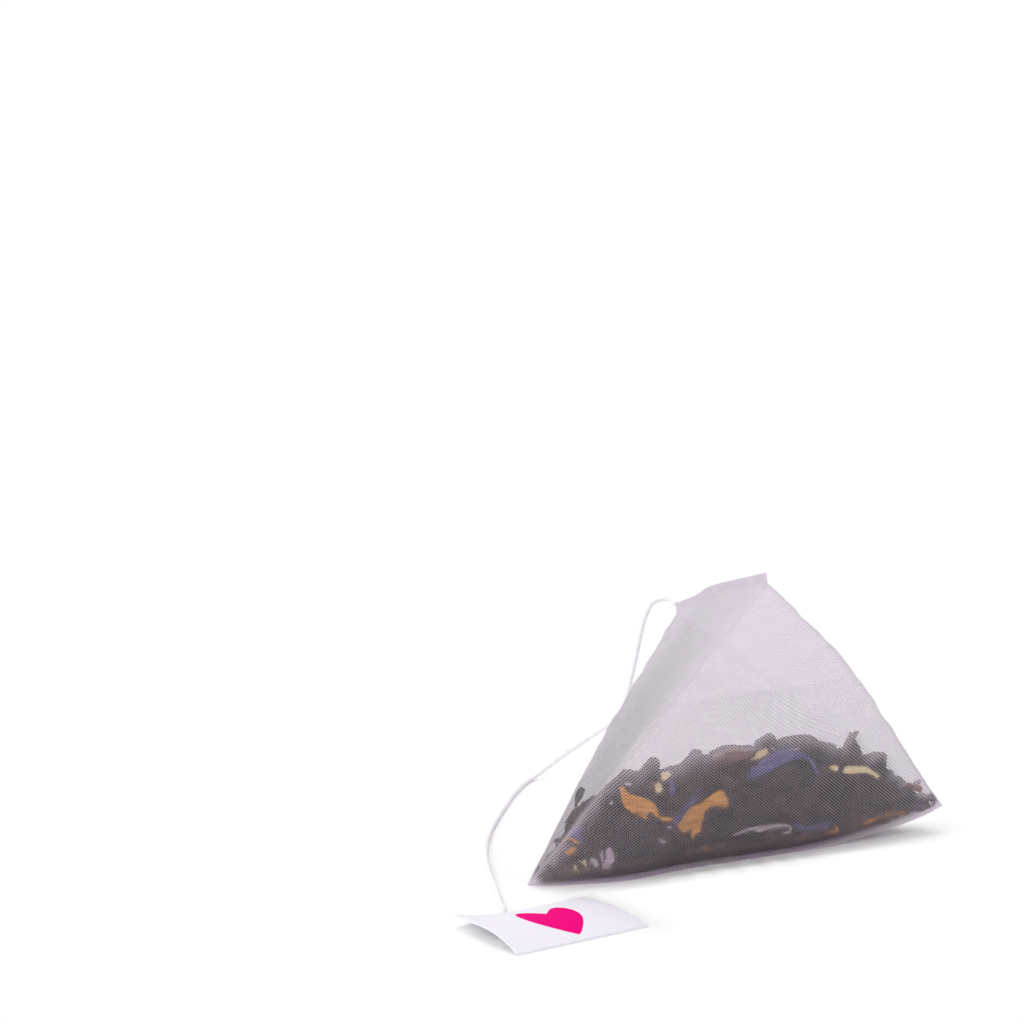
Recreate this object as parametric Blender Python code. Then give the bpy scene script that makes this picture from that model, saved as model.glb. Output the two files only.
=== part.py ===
"""Pyramid tea bag standing on its filled base, with its cotton string and paper tag.

The bag is a tube of woven nylon film sealed flat at one end, filled, and sealed flat again across
the first seal, which makes a four-cornered bag. X runs along the bottom seal, Y away from the front
face and Z up. The origin is under the middle of the bag, on the surface that it stands on.
"""
import math
import random

import bmesh
import bpy
import numpy as np
from mathutils import Vector
from mathutils.bvhtree import BVHTree

MM = 0.001

# Film tube
FLAT_WIDTH = 66.0 * MM  # the tube pressed flat, which is the length of each seal
FILM = 0.25 * MM
SEAL_WIDTH = 2.0 * MM
TOP_SEAL_WIDTH = 1.3 * MM
TOP_TAKEUP = 9.3 * MM  # what the bends of the top seal take off its straight length

# How the filled bag stands
BOTTOM_SEAL_Y = -8.15 * MM
BOTTOM_RISE = 3.1 * MM  # height of the right end of the bottom seal
BOTTOM_BOW = 2.3 * MM  # the filling pushes the bottom seal out
BOTTOM_BOW_SLANT = 0.3
BOTTOM_BOW_LEFT = 1.2 * MM
TOP_CENTRE = (0.3 * MM, 0.15 * MM, 35.7 * MM)
TOP_TURN = math.radians(72.5)  # plan angle of the top seal, near end to far end
TOP_TILT = math.radians(14.4)  # the near end of the top seal stands higher
TOP_WAVE = 0.7 * MM
TOP_CROWN = 0.6 * MM
FRONT_BULGE = 3.2 * MM
BASE_BULGE = 8.5 * MM
LEFT_BULGE = 0.9 * MM
RIGHT_BULGE = 3.0 * MM
END_BULGE = 0.5 * MM
FILL_TOP = 0.62  # share of the bag's height that the filling rounds out
FOLD_ROUNDING = 1.5 * MM  # half the width of film that each fold turns over

# Weave: ridges along and across the film, with an opening in each square between them
COLUMNS = 20
ROWS = 6
OPENING_SHARE = 0.46  # part of each square's side that is open
RIDGE = 0.15 * MM
CROSSING = 0.12 * MM  # every second crossing stands this much higher
LAP = 0.2 * MM  # second layer of film along the lap seam
LAP_COLUMN = 12

# Filling
CLEAR = 0.3 * MM  # gap between pieces that touch
PETAL = 0.35 * MM
TEA_AROUND = 44
TEA_START = 0.07  # rise at which the leaf begins above the bottom seal
TEA_INSET = 0.9 * MM
TEA_INSET_FRONT = 1.35 * MM  # more, for the petals that lie between the leaf and the front face
TEA_LEVEL = 8.2 * MM
TEA_SLOPE = 0.16  # the leaf lies lower towards the back
TEA_CROWN = 2.6 * MM
TEA_CROWN_AT = (3.0 * MM, -7.0 * MM)
TEA_CROWN_REACH = 24.0 * MM
TEA_LUMPS = 0.5 * MM
LEAF_WIDTH = 1.5 * MM
LEAF_THICKNESS = 0.7 * MM

# String
STRING = 0.65 * MM

# Tag
TAG_LENGTH = 19.8 * MM
TAG_WIDTH = 14.0 * MM
TAG_PAPER = 0.3 * MM
TAG_CENTRE = (-37.9 * MM, -24.9 * MM)
TAG_TURN = math.radians(8.5)
TAG_ARCH_LEFT = 1.5 * MM
TAG_ARCH_RIGHT = 0.6 * MM
TAG_CORNER_LIFT = 1.2 * MM
TAG_SIDE_POINTS = 8
HEART_WIDTH = 9.6 * MM
HEART_HEIGHT = 8.6 * MM
HEART_AT = (-0.8 * MM, -0.3 * MM)  # its middle, from the middle of the tag
INK = 0.06 * MM

FRONT_WAY = np.array([0.0, -1.0, -0.15])
BASE_WAY = np.array([0.0, 0.64, -0.77])
FOLD_SAMPLES = 7

for old in list(bpy.data.objects):
    bpy.data.objects.remove(old, do_unlink=True)

parts = bpy.data.collections.new("pyramid_tea_bag")
bpy.context.scene.collection.children.link(parts)


def finish(name, colour, roughness, alpha=1.0):
    made = bpy.data.materials.new(name)
    made.use_nodes = True
    shader = made.node_tree.nodes["Principled BSDF"]
    shader.inputs["Base Color"].default_value = (*colour, 1.0)
    shader.inputs["Roughness"].default_value = roughness
    shader.inputs["Metallic"].default_value = 0.0
    shader.inputs["Alpha"].default_value = alpha
    return made


def add_part(name, mesh, *finishes):
    part = bpy.data.objects.new(name, mesh)
    parts.objects.link(part)
    for made in finishes:
        mesh.materials.append(made)
    return part


def mesh_of(name, points, faces):
    """A mesh with equal points joined and its faces turned out."""
    mesh = bpy.data.meshes.new(name)
    mesh.from_pydata([tuple(p) for p in points], [], faces)
    work = bmesh.new()
    work.from_mesh(mesh)
    bmesh.ops.remove_doubles(work, verts=work.verts, dist=0.001 * MM)
    bmesh.ops.recalc_face_normals(work, faces=work.faces)
    if work.calc_volume(signed=True) < 0:
        bmesh.ops.reverse_faces(work, faces=work.faces)
    work.to_mesh(mesh)
    work.free()
    return mesh


# Shape of the film tube. A place on it is given by across, the distance round the tube from its left
# fold, and by rise, the share of the way from the bottom seal (0) to the top seal (1).


def bottom_fold(s):
    """Bottom seal's outer edge, from the left end at s = -1 to the right end at s = 1."""
    left = BOTTOM_BOW_LEFT * np.exp(-(((s + 0.6) / 0.22) ** 2))
    bow = (BOTTOM_BOW * (1 - BOTTOM_BOW_SLANT * s) + left) * (1 - s**8)
    lift = BOTTOM_RISE * np.maximum(0.0, (s - 0.1) / 0.9) ** 2
    return np.stack([s * FLAT_WIDTH / 2, BOTTOM_SEAL_Y - bow, lift], axis=-1)


def bottom_root(s):
    """Where the film opens above the bottom seal."""
    inward = SEAL_WIDTH * (1 - np.abs(s) ** 6)
    return bottom_fold(s) + inward[..., None] * np.array([0.0, 1.0, 0.0])


def unit(v):
    return v / np.linalg.norm(v)


TOP_SPAN = FLAT_WIDTH - TOP_TAKEUP
TOP_ALONG = np.array(
    [
        math.cos(TOP_TURN) * math.cos(TOP_TILT),
        math.sin(TOP_TURN) * math.cos(TOP_TILT),
        -math.sin(TOP_TILT),
    ]
)
AXIS = unit(np.array(TOP_CENTRE) - np.array([0.0, BOTTOM_SEAL_Y, BOTTOM_RISE / 2]))
TOP_ACROSS = unit(np.cross(TOP_ALONG, AXIS))


def top_fold(s):
    """Top seal's outer edge, from the near end at s = -1 to the far end at s = 1."""
    wave = TOP_WAVE * np.sin(1.5 * math.pi * (s + 1)) * (1 - s**4)
    crown = TOP_CROWN * (1 - s * s)
    spread = s[..., None] * TOP_SPAN / 2 * TOP_ALONG
    return np.array(TOP_CENTRE) + spread + wave[..., None] * TOP_ACROSS + crown[..., None] * AXIS


def top_root(s):
    """Where the film opens below the top seal."""
    return top_fold(s) - TOP_SEAL_WIDTH * AXIS


def square_section(across, rise):
    """Place on a section with sharp folds: su runs along the bottom seal, sv along the top seal."""
    w = FLAT_WIDTH
    a = np.mod(across, 2 * w)
    side = np.maximum(w * rise / 2, 1e-9)
    face = np.maximum(w * (1 - rise) / 2, 1e-9)
    places = [(a <= side) | (a >= 2 * w - side), a < w - side, a <= w + side]
    su = np.select(places, [-1.0, (a - w / 2) / face, 1.0], (1.5 * w - a) / face)
    left = np.where(a <= side, -a, 2 * w - a) / side
    sv = np.select(places, [left, -1.0, (a - w) / side], 1.0)
    return np.clip(su, -1, 1), np.clip(sv, -1, 1)


def inset_share(inset, half):
    return 1 - inset / np.maximum(half, 1.4 * inset + 1e-9)


def film(across, rise, inset=0.0, inset_front=0.0):
    """Middle of the film, or a place inset into the bag. Averaging over a short width rounds each fold."""
    across, rise = np.broadcast_arrays(np.asarray(across, float), np.asarray(rise, float))
    rounding = FOLD_ROUNDING * np.minimum(1.0, np.minimum(8 * rise, 8 * (1 - rise)))
    filled = np.sin(math.pi * np.clip(rise / FILL_TOP, 0, 1)) ** 0.8
    soft = np.sin(math.pi * rise)
    soft_right = np.sin(math.pi * rise**1.5)
    total = np.zeros(across.shape + (3,))
    for k in range(FOLD_SAMPLES):
        share = 2 * (k + 0.5) / FOLD_SAMPLES - 1
        su, sv = square_section(across + share * rounding, rise)
        su = su * inset_share(inset, FLAT_WIDTH * (1 - rise) / 2)
        sv = sv * inset_share(np.where(sv < 0, inset_front, inset), FLAT_WIDTH * rise / 2)
        p = (1 - rise)[..., None] * bottom_root(su) + rise[..., None] * top_root(sv)
        full = 1 - su * su
        front = FRONT_BULGE * filled * full * np.maximum(0, -sv)
        base = BASE_BULGE * filled * full**0.7 * np.maximum(0, sv)
        sideways = np.where(su > 0, RIGHT_BULGE * soft_right, LEFT_BULGE * soft) * (1 - 0.3 * sv * sv)
        endways = END_BULGE * soft * (1 - 0.5 * full)
        p = p + front[..., None] * FRONT_WAY + base[..., None] * BASE_WAY
        p = p + (sideways * su)[..., None] * np.array([1.0, 0.0, 0.0])
        p = p + (endways * sv)[..., None] * np.array([0.0, 1.0, 0.0])
        total = total + p
    total = total / FOLD_SAMPLES
    total[..., 2] = np.maximum(total[..., 2], FILM / 2)
    return total


def film_normal(across, rise):
    """Outward direction of the film."""
    across, rise = np.broadcast_arrays(np.asarray(across, float), np.asarray(rise, float))
    step = 0.4 * MM
    low, high = np.maximum(rise - 0.01, 0.004), np.minimum(rise + 0.01, 0.996)
    along = film(across + step, rise) - film(across - step, rise)
    n = np.cross(along, film(across, high) - film(across, low))
    return n / np.linalg.norm(n, axis=-1, keepdims=True)


# Film lengths up the middle of the front face, which turn a height in metres into a rise.
RISE_STEPS = np.linspace(0.0, 1.0, 61)
UP_FRONT = film(FLAT_WIDTH / 2, RISE_STEPS)
UP_LENGTHS = np.concatenate([[0.0], np.cumsum(np.linalg.norm(np.diff(UP_FRONT, axis=0), axis=1))])


def rise_of(height_up_film):
    return np.interp(height_up_film, UP_LENGTHS, RISE_STEPS)


# Nylon mesh pouch: one piece of film, with its lap seam and its two seals


def weave_lines():
    """Places of the film lines round the tube and up it: ridge edge, ridge middle and opening edge."""
    bar = 1 - OPENING_SHARE
    marks = (0.0, bar / 2, bar)
    square = 2 * FLAT_WIDTH / COLUMNS
    around = [square * (column + mark - marks[1]) for column in range(COLUMNS) for mark in marks]
    margin = 0.035
    rises = [margin + (1 - 2 * margin) * (row + mark) / ROWS for row in range(ROWS) for mark in marks]
    return np.array(around), np.array(rises + [1 - margin])


def ridge_height(i, j):
    """How far the outer side stands above the plain film at line i round the tube, line j up it."""
    on_column, on_row = i % 3 == 1, j % 3 == 1
    height = RIDGE if on_column or on_row else 0.0
    if on_column and on_row and (i // 3 + j // 3) % 2:
        height += CROSSING
    if i // 3 == LAP_COLUMN and i % 3 < 2:
        height += LAP
    return height


def seal_lines(around, top):
    """Root, outer edge and inner fold of a seal at each film line. Lines i and mirror(i) lie together."""
    w = FLAT_WIDTH
    a = np.mod(around - (w / 2 if top else 0.0), 2 * w)
    s = np.where(a <= w, a / (w / 2) - 1, 3 - a / (w / 2))
    at_end = np.abs(s) > 0.999
    layer = np.where(at_end, 0.0, np.where(a < w, 1.0, -1.0))[:, None]
    edge, root = (top_fold(s), top_root(s)) if top else (bottom_fold(s), bottom_root(s))
    way = TOP_ACROSS if top else np.array([0.0, 0.0, 1.0])
    if not top:
        edge, root = edge + FILM * way, root + FILM * way
    return root + layer * FILM * way, edge + layer * FILM * way, root


def build_pouch():
    around, rises = weave_lines()
    n = len(around)
    points, faces = [], []

    def ring(values):
        start = len(points)
        points.extend(values)
        return list(range(start, start + len(values)))

    outer, inner = [], []
    for j, rise in enumerate(rises):
        middle, way = film(around, rise), film_normal(around, rise)
        height = np.array([FILM / 2 + ridge_height(i, j) for i in range(n)])[:, None]
        outside = middle + way * height
        outside[:, 2] = np.maximum(outside[:, 2], 0.0)
        outer.append(ring(outside))
        inner.append(ring(middle - way * FILM / 2))

    for j in range(len(rises) - 1):
        for i in range(n):
            k = (i + 1) % n
            a, b, c, d = outer[j][i], outer[j][k], outer[j + 1][k], outer[j + 1][i]
            e, f, g, h = inner[j][i], inner[j][k], inner[j + 1][k], inner[j + 1][i]
            if i % 3 == 2 and j % 3 == 2:
                faces += [(a, e, f, b), (b, f, g, c), (c, g, h, d), (d, h, e, a)]
            else:
                faces += [(a, b, c, d), (e, h, g, f)]

    for top in (False, True):
        root, edge, fold = seal_lines(around, top)
        root_ring, edge_ring, fold_ring = ring(root), ring(edge), ring(fold)
        outside, inside = (outer[-1], inner[-1]) if top else (outer[0], inner[0])
        turn = 2 + (n // 2 if top else 0)
        capped = set()
        for i in range(n):
            k = (i + 1) % n
            faces.append((outside[i], outside[k], root_ring[k], root_ring[i]))
            faces.append((root_ring[i], root_ring[k], edge_ring[k], edge_ring[i]))
            faces.append((inside[k], inside[i], fold_ring[i], fold_ring[k]))
            i_back, k_back = (turn - i) % n, (turn - k) % n
            cell = tuple(dict.fromkeys(edge_ring[m] for m in (i, k, k_back, i_back)))
            if len(cell) > 2 and frozenset(cell) not in capped:
                capped.add(frozenset(cell))
                faces.append(cell)
    return mesh_of("mesh_pouch", points, faces)


NYLON = finish("nylon_film", (0.78, 0.76, 0.80), 0.45, 0.5)
pouch = add_part("mesh_pouch", build_pouch(), NYLON)


def tree_of(mesh):
    return BVHTree.FromPolygons([v.co[:] for v in mesh.vertices], [p.vertices[:] for p in mesh.polygons])


POUCH_TREE = tree_of(pouch.data)


# Tea: the packed leaf, with a lumpy top, a little off the film all round


def tea_level(x, y):
    dx, dy = x - TEA_CROWN_AT[0], y - TEA_CROWN_AT[1]
    distance = np.sqrt(dx * dx + (1.6 * dy) ** 2) / TEA_CROWN_REACH
    return TEA_LEVEL - TEA_SLOPE * y + TEA_CROWN * np.maximum(0.0, 1 - distance**2)


def kept_in(p, centre, gap):
    """The point moved towards the centre until it is gap away from the film."""
    p = Vector(p)
    while POUCH_TREE.find_nearest(p)[3] < gap:
        p = p + (Vector(centre) - p).normalized() * 0.05 * MM
    return np.array(p)


def build_tea():
    chance = random.Random(5)
    n = TEA_AROUND
    around = np.linspace(0, 2 * FLAT_WIDTH, n, endpoint=False)
    rises = np.linspace(TEA_START, 0.75, 141)
    gaps = np.where(around < FLAT_WIDTH, 2 * CLEAR + PETAL, CLEAR) + FILM / 2

    def side_point(i, rise):
        p = film(around[i], rise, TEA_INSET, TEA_INSET_FRONT)
        p[2] = max(p[2], FILM + 1.5 * CLEAR)
        return p

    top_rises = []
    for a in around:
        line = film(a, rises, TEA_INSET, TEA_INSET_FRONT)
        below = line[:, 2] < tea_level(line[:, 0], line[:, 1])
        top_rises.append(rises[below][-1])
    steps = 5
    rings = []
    for k in range(steps + 1):
        ring = np.array([side_point(i, TEA_START + (top_rises[i] - TEA_START) * k / steps) for i in range(n)])
        centre = ring.mean(axis=0)
        if k:
            ring = centre + (ring - centre) * (1 - chance.uniform(0, TEA_LUMPS) / (12 * MM))
        rings.append(np.array([kept_in(p, centre, gap) for p, gap in zip(ring, gaps)]))
    top = rings[-1]
    centre = top.mean(axis=0)
    for share in (0.72, 0.4, 0.12):
        ring = centre + (top - centre) * share
        lumps = np.array([chance.uniform(-TEA_LUMPS, TEA_LUMPS) for _ in range(n)])
        ring[:, 2] = tea_level(ring[:, 0], ring[:, 1]) + lumps
        rings.append(ring)
    faces = []
    for k in range(len(rings) - 1):
        for i in range(n):
            j = (i + 1) % n
            faces.append((k * n + i, k * n + j, (k + 1) * n + j, (k + 1) * n + i))
    faces.append(tuple((len(rings) - 1) * n + i for i in range(n)))
    for i in range(n // 2):
        faces.append(tuple(dict.fromkeys((i, i + 1, (n - i - 1) % n, (n - i) % n))))
    mesh = mesh_of("tea_leaf_heap", np.concatenate(rings), faces)
    work = bmesh.new()
    work.from_mesh(mesh)
    bmesh.ops.triangulate(work, faces=work.faces)
    work.to_mesh(mesh)
    work.free()
    return mesh


TEA = finish("dark_tea", (0.055, 0.042, 0.036), 0.75)
heap = add_part("tea_leaf_heap", build_tea(), TEA)


# Petals and flakes. Each is cut from an outline in millimetres, along its length and across it.


def outline_sheet(outline, longest=2.4 * MM):
    """The outline as a flat mesh with no edge longer than longest, as points in metres and triangles."""
    work = bmesh.new()
    corners = [work.verts.new((x * MM, y * MM, 0.0)) for x, y in outline]
    bmesh.ops.triangulate(work, faces=[work.faces.new(corners)])
    for _ in range(3):
        long_edges = [e for e in work.edges if e.calc_length() > longest]
        if not long_edges:
            break
        bmesh.ops.subdivide_edges(work, edges=long_edges, cuts=1)
        bmesh.ops.triangulate(work, faces=work.faces)
    points = np.array([v.co[:] for v in work.verts])
    faces = [tuple(v.index for v in f.verts) for f in work.faces]
    work.free()
    return points, faces


def closed_faces(faces, n):
    """Faces of a closed sheet whose two layers hold n points each."""
    edges = {(a, b) for f in faces for a, b in zip(f, f[1:] + f[:1])}
    rim = [(a, b, b + n, a + n) for a, b in edges if (b, a) not in edges]
    return [tuple(reversed(f)) for f in faces] + [tuple(v + n for v in f) for f in faces] + rim


def turned(points, angle):
    c, s = math.cos(angle), math.sin(angle)
    x, y = points[:, 0], points[:, 1]
    return np.stack([c * x - s * y, s * x + c * y], axis=-1)


def against_film(name, outline, across, height, turn, colour):
    """A petal pressed flat against the inside of the front face, at millimetres across and up the film."""
    flat, faces = outline_sheet(outline)
    flat = turned(flat, math.radians(turn))
    a = across * MM + flat[:, 0]
    rise = rise_of(height * MM + flat[:, 1])
    middle, way = film(a, rise), film_normal(a, rise)
    near = middle - way * (FILM / 2 + CLEAR)
    points = np.concatenate([near - way * PETAL, near])
    mesh = mesh_of(name, points, closed_faces(faces, len(near)))
    return add_part(name, mesh, finish(name, colour, 0.7))


ORANGE = (0.62, 0.30, 0.05)
YELLOW = (0.62, 0.50, 0.22)
BLUE = (0.10, 0.09, 0.42)
BROWN = (0.20, 0.11, 0.07)
PALE = (0.62, 0.58, 0.55)

# Outlines in millimetres
SLIVER = [
    (-3.4, 0.4), (-2.2, 1.1), (-0.6, 1.0), (1.2, 0.6), (3.2, 0.3),
    (3.4, -0.4), (1.4, -0.9), (-0.8, -0.9), (-2.4, -0.5),
]
FORKED = [
    (-3.9, -0.5), (-3.2, -1.1), (-1.6, -1.6), (-0.7, -2.9), (0.1, -1.4), (1.6, -0.7),
    (3.7, -0.8), (3.6, 0.6), (2.4, 1.2), (0.6, 0.7), (-1.6, 0.5), (-3.0, 0.2),
]
LONG_PETAL = [
    (-5.4, -0.9), (-3.2, -1.2), (-0.8, -0.4), (1.6, 0.1), (3.6, -0.3), (5.2, -1.3),
    (5.5, -0.9), (4.2, 0.5), (2.2, 1.2), (-0.4, 1.2), (-3.0, 0.8), (-5.2, 0.1),
]
STRIP = [
    (-3.4, -0.4), (-1.2, -0.7), (1.1, -0.7), (3.3, -0.4),
    (3.5, 0.2), (1.3, 0.5), (-1.0, 0.6), (-3.3, 0.4),
]
BLADE = [(-2.7, -0.2), (-1.0, -0.45), (1.0, -0.5), (2.6, -0.1), (1.1, 0.35), (-0.9, 0.4)]
CLUMP = [
    (-1.6, -0.6), (-0.6, -1.5), (0.5, -1.2), (1.5, -1.6), (1.4, -0.2),
    (1.7, 1.0), (0.4, 1.4), (-0.5, 1.0), (-1.5, 1.4),
]
SPECK = [(-0.9, -0.5), (0.5, -0.8), (0.9, 0.1), (0.2, 0.7), (-0.7, 0.5)]

# name, outline, millimetres across and up the film, turn in degrees, colour
PRESSED = [
    ("orange_petal_left", SLIVER, 14.8, 14.1, -32, ORANGE),
    ("orange_petal_forked", FORKED, 24.2, 11.1, 34, ORANGE),
    ("blue_petal_sliver", BLADE, 19.8, 13.6, 62, BLUE),
    ("blue_petal_long", LONG_PETAL, 36.0, 18.2, 6, BLUE),
    ("yellow_petal_right", STRIP, 48.0, 13.9, -10, YELLOW),
    ("pale_curled_strand", BLADE, 34.2, 6.1, 6, PALE),
    ("blue_petal_low", BLADE, 43.2, 4.3, -4, BLUE),
    ("orange_petal_low_right", STRIP, 54.4, 3.2, 4, ORANGE),
    ("orange_speck_low", SPECK, 47.0, 2.6, 20, ORANGE),
    ("pale_petal_clump", CLUMP, 11.0, 4.6, 10, PALE),
    ("yellow_speck_left", SPECK, 7.4, 3.4, 0, YELLOW),
    ("purple_speck_left", SPECK, 7.9, 8.2, 30, BLUE),
    ("ochre_fleck_upper", SPECK, 19.0, 17.6, 60, YELLOW),
    ("pale_glint_left", SPECK, 14.0, 18.2, 15, PALE),
    ("brown_leaf_stub", SPECK, 58.4, 5.6, 15, BROWN),
]
for entry in PRESSED:
    against_film(*entry)


# Loose pieces on top of the heap. Each is let down until it lies on what is below it.

landed = [tree_of(heap.data)]


def let_down(points, edges):
    """How far the points can go down before they are CLEAR above the pile, or None beside the heap."""
    tests = list(points) + [(points[a] + points[b]) / 2 for a, b in edges]
    drop = None
    for p in tests:
        if landed[0].ray_cast(Vector((p[0], p[1], 60 * MM)), Vector((0, 0, -1)))[0] is None:
            return None
        for tree in landed:
            for reach_x, reach_y in ((0, 0), (0.4, 0), (-0.4, 0), (0, 0.4), (0, -0.4)):
                above = Vector((p[0] + reach_x * MM, p[1] + reach_y * MM, 60 * MM))
                hit = tree.ray_cast(above, Vector((0, 0, -1)))[0]
                if hit is not None:
                    room = p[2] - hit.z - CLEAR
                    drop = room if drop is None else min(drop, room)
    return drop


def pile(name, shape, faces, x, y, turn, material):
    """Let a loose piece down at x, y. Beside the heap or the film, it is first moved in a little."""
    edges = {tuple(sorted(pair)) for f in faces for pair in zip(f, f[1:] + f[:1])}
    heading = turned(shape, math.radians(turn))
    share = 1.0
    while share > 0.1:
        spot = np.array([share * x, share * y + (share - 1) * 3]) * MM
        points = np.column_stack([heading + spot, shape[:, 2] + 40 * MM])
        drop = let_down(points, edges)
        if drop is not None:
            points[:, 2] -= drop
            if min(POUCH_TREE.find_nearest(Vector(p))[3] for p in points) > CLEAR:
                break
        share -= 0.04
    mesh = mesh_of(name, points, faces)
    landed.append(tree_of(mesh))
    add_part(name, mesh, material)


def twisted_leaf(length, width, thickness, turns, bend):
    """A rolled leaf along X: an oval section that turns along a gently bent line."""
    stations, sides = 6, 6
    points, faces = [], []
    for k in range(stations):
        share = k / (stations - 1)
        size = 0.35 + 0.65 * math.sin(math.pi * (0.12 + 0.76 * share)) ** 0.7
        lean = 2 * math.pi * turns * share
        middle = np.array([(share - 0.5) * length, bend * (1 - (2 * share - 1) ** 2), 0.0])
        for m in range(sides):
            angle = 2 * math.pi * m / sides
            u = width / 2 * size * math.cos(angle)
            v = thickness / 2 * size * math.sin(angle)
            y = u * math.cos(lean) - v * math.sin(lean)
            z = u * math.sin(lean) + v * math.cos(lean)
            points.append(middle + np.array([0.0, y, z]))
    for k in range(stations - 1):
        for m in range(sides):
            n = (m + 1) % sides
            faces.append((k * sides + m, k * sides + n, (k + 1) * sides + n, (k + 1) * sides + m))
    faces.append(tuple(range(sides)))
    faces.append(tuple((stations - 1) * sides + m for m in reversed(range(sides))))
    return np.array(points), faces


def tipped(points, pitch):
    c, s = math.cos(math.radians(pitch)), math.sin(math.radians(pitch))
    x, y, z = points.T
    return np.stack([c * x - s * z, y, s * x + c * z], axis=-1)


# x and y in millimetres, turn and pitch in degrees, length in millimetres
LEAVES = [
    (-17.0, -4.0, 20, 0, 6.0),
    (-13.0, 0.5, -35, 4, 5.4),
    (-9.0, -6.0, 8, 0, 6.6),
    (-6.5, 3.5, 60, 0, 5.6),
    (-2.5, -2.5, -20, 3, 6.8),
    (-1.0, 7.0, 15, 0, 6.0),
    (3.5, -7.0, -8, 0, 6.4),
    (4.5, 2.0, 40, 5, 6.2),
    (8.5, 8.0, -30, 0, 6.4),
    (10.0, -3.5, 12, 0, 6.8),
    (13.5, 3.5, -50, 4, 5.8),
    (16.5, -6.0, 24, 0, 5.8),
    (18.5, 0.5, -14, 0, 5.6),
    (-4.0, 12.0, -10, 0, 5.4),
    (4.0, 13.5, 30, 0, 5.0),
    (0.5, 2.5, -60, 8, 6.0),
    (7.0, -0.5, 70, 6, 6.0),
    (-11.0, 5.5, 12, 0, 5.0),
]


def fill_top():
    chance = random.Random(11)
    for number, (x, y, turn, pitch, length) in enumerate(LEAVES, 1):
        shape, faces = twisted_leaf(
            length * MM,
            LEAF_WIDTH * chance.uniform(0.85, 1.15),
            LEAF_THICKNESS * chance.uniform(0.9, 1.2),
            chance.uniform(0.3, 0.8),
            chance.uniform(-0.6, 0.6) * MM,
        )
        pile(f"twisted_leaf_{number:02d}", tipped(shape, pitch), faces, x, y, turn, TEA)


def loose_flake(name, outline, x, y, turn, lean, colour):
    """A flake that leans back by lean degrees from lying flat."""
    flat, faces = outline_sheet(outline)
    n = len(flat)
    c, s = math.cos(math.radians(lean)), math.sin(math.radians(lean))
    layers = []
    for side in (-PETAL / 2, PETAL / 2):
        layers.append(np.stack([flat[:, 0], c * flat[:, 1] - s * side, s * flat[:, 1] + c * side], axis=-1))
    pile(name, np.concatenate(layers), closed_faces(faces, n), x, y, turn, finish(name, colour, 0.7))


fill_top()
loose_flake("brown_leaf_flake", STRIP, -2.5, -4.0, 10, 45, BROWN)
loose_flake("tan_leaf_flake", STRIP, 4.0, -1.0, -12, 45, YELLOW)


# String: one cotton cord, from the far end of the top seal down to the tag


ROUTE = [
    (8.75, 26.95, 28.45),
    (8.6, 28.3, 28.95),
    (7.6, 29.3, 28.9),
    (6.2, 29.6, 28.2),
    (5.4, 30.2, 26.0),
    (5.0, 31.2, 22.2),
    (4.6, 32.6, 16.9),
    (4.4, 34.6, 12.2),
    (4.0, 36.6, 9.2),
    (2.2, 38.6, 7.2),
    (-0.6, 40.2, 4.9),
    (-4.4, 41.4, 2.2),
    (-7.2, 41.2, 0.6),
    (-9.6, 39.6, 0.335),
    (-14.2, 34.4, 0.335),
    (-18.9, 28.0, 0.335),
    (-23.4, 21.6, 0.335),
    (-27.4, 15.4, 0.335),
    (-30.6, 9.6, 0.335),
    (-33.2, 4.0, 0.335),
    (-35.6, -2.4, 0.335),
    (-37.8, -8.8, 0.335),
    (-39.7, -14.0, 0.335),
    (-40.6, -17.2, 0.335),
]


def smooth_route(route, spacing):
    """Points at even spacing on a smooth curve through the route."""
    knots = [Vector(p) * MM for p in route]
    dense = []
    for k in range(len(knots) - 1):
        before = knots[max(k - 1, 0)]
        after = knots[min(k + 2, len(knots) - 1)]
        for m in range(24):
            t = m / 24
            a, b = knots[k], knots[k + 1]
            start, end = (b - before) / 2, (after - a) / 2
            dense.append(
                a * (2 * t**3 - 3 * t**2 + 1)
                + start * (t**3 - 2 * t**2 + t)
                + b * (3 * t**2 - 2 * t**3)
                + end * (t**3 - t**2)
            )
    dense.append(knots[-1])
    lengths = np.concatenate([[0.0], np.cumsum([(q - p).length for p, q in zip(dense, dense[1:])])])
    count = max(2, round(lengths[-1] / spacing) + 1)
    at = np.linspace(0.0, lengths[-1], count)
    columns = [np.interp(at, lengths, [p[axis] for p in dense]) for axis in range(3)]
    return np.stack(columns, axis=-1)


def add_string():
    line = smooth_route(ROUTE, 2.75 * STRING)
    curve = bpy.data.curves.new("string", "CURVE")
    curve.dimensions = "3D"
    curve.bevel_depth = STRING / 2
    curve.bevel_resolution = 2
    curve.use_fill_caps = True
    spline = curve.splines.new("POLY")
    spline.points.add(len(line) - 1)
    for point, place_at in zip(spline.points, line):
        point.co = (*place_at, 1.0)
    curve.materials.append(finish("cotton", (0.86, 0.84, 0.88), 0.9))
    cord = bpy.data.objects.new("string", curve)
    parts.objects.link(cord)


add_string()


# Tag: a small card, arched across its short way, with a printed heart


def tag_height(u, v):
    """Height of the card's underside at u along it and v across it, each from -1 to 1."""
    arch = TAG_ARCH_LEFT * (1 - u) / 2 + TAG_ARCH_RIGHT * (1 + u) / 2
    lift = TAG_CORNER_LIFT * max(0.0, -u) ** 2 * max(0.0, v) ** 2
    return 0.02 * MM + arch * (1 - v * v) + lift


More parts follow.
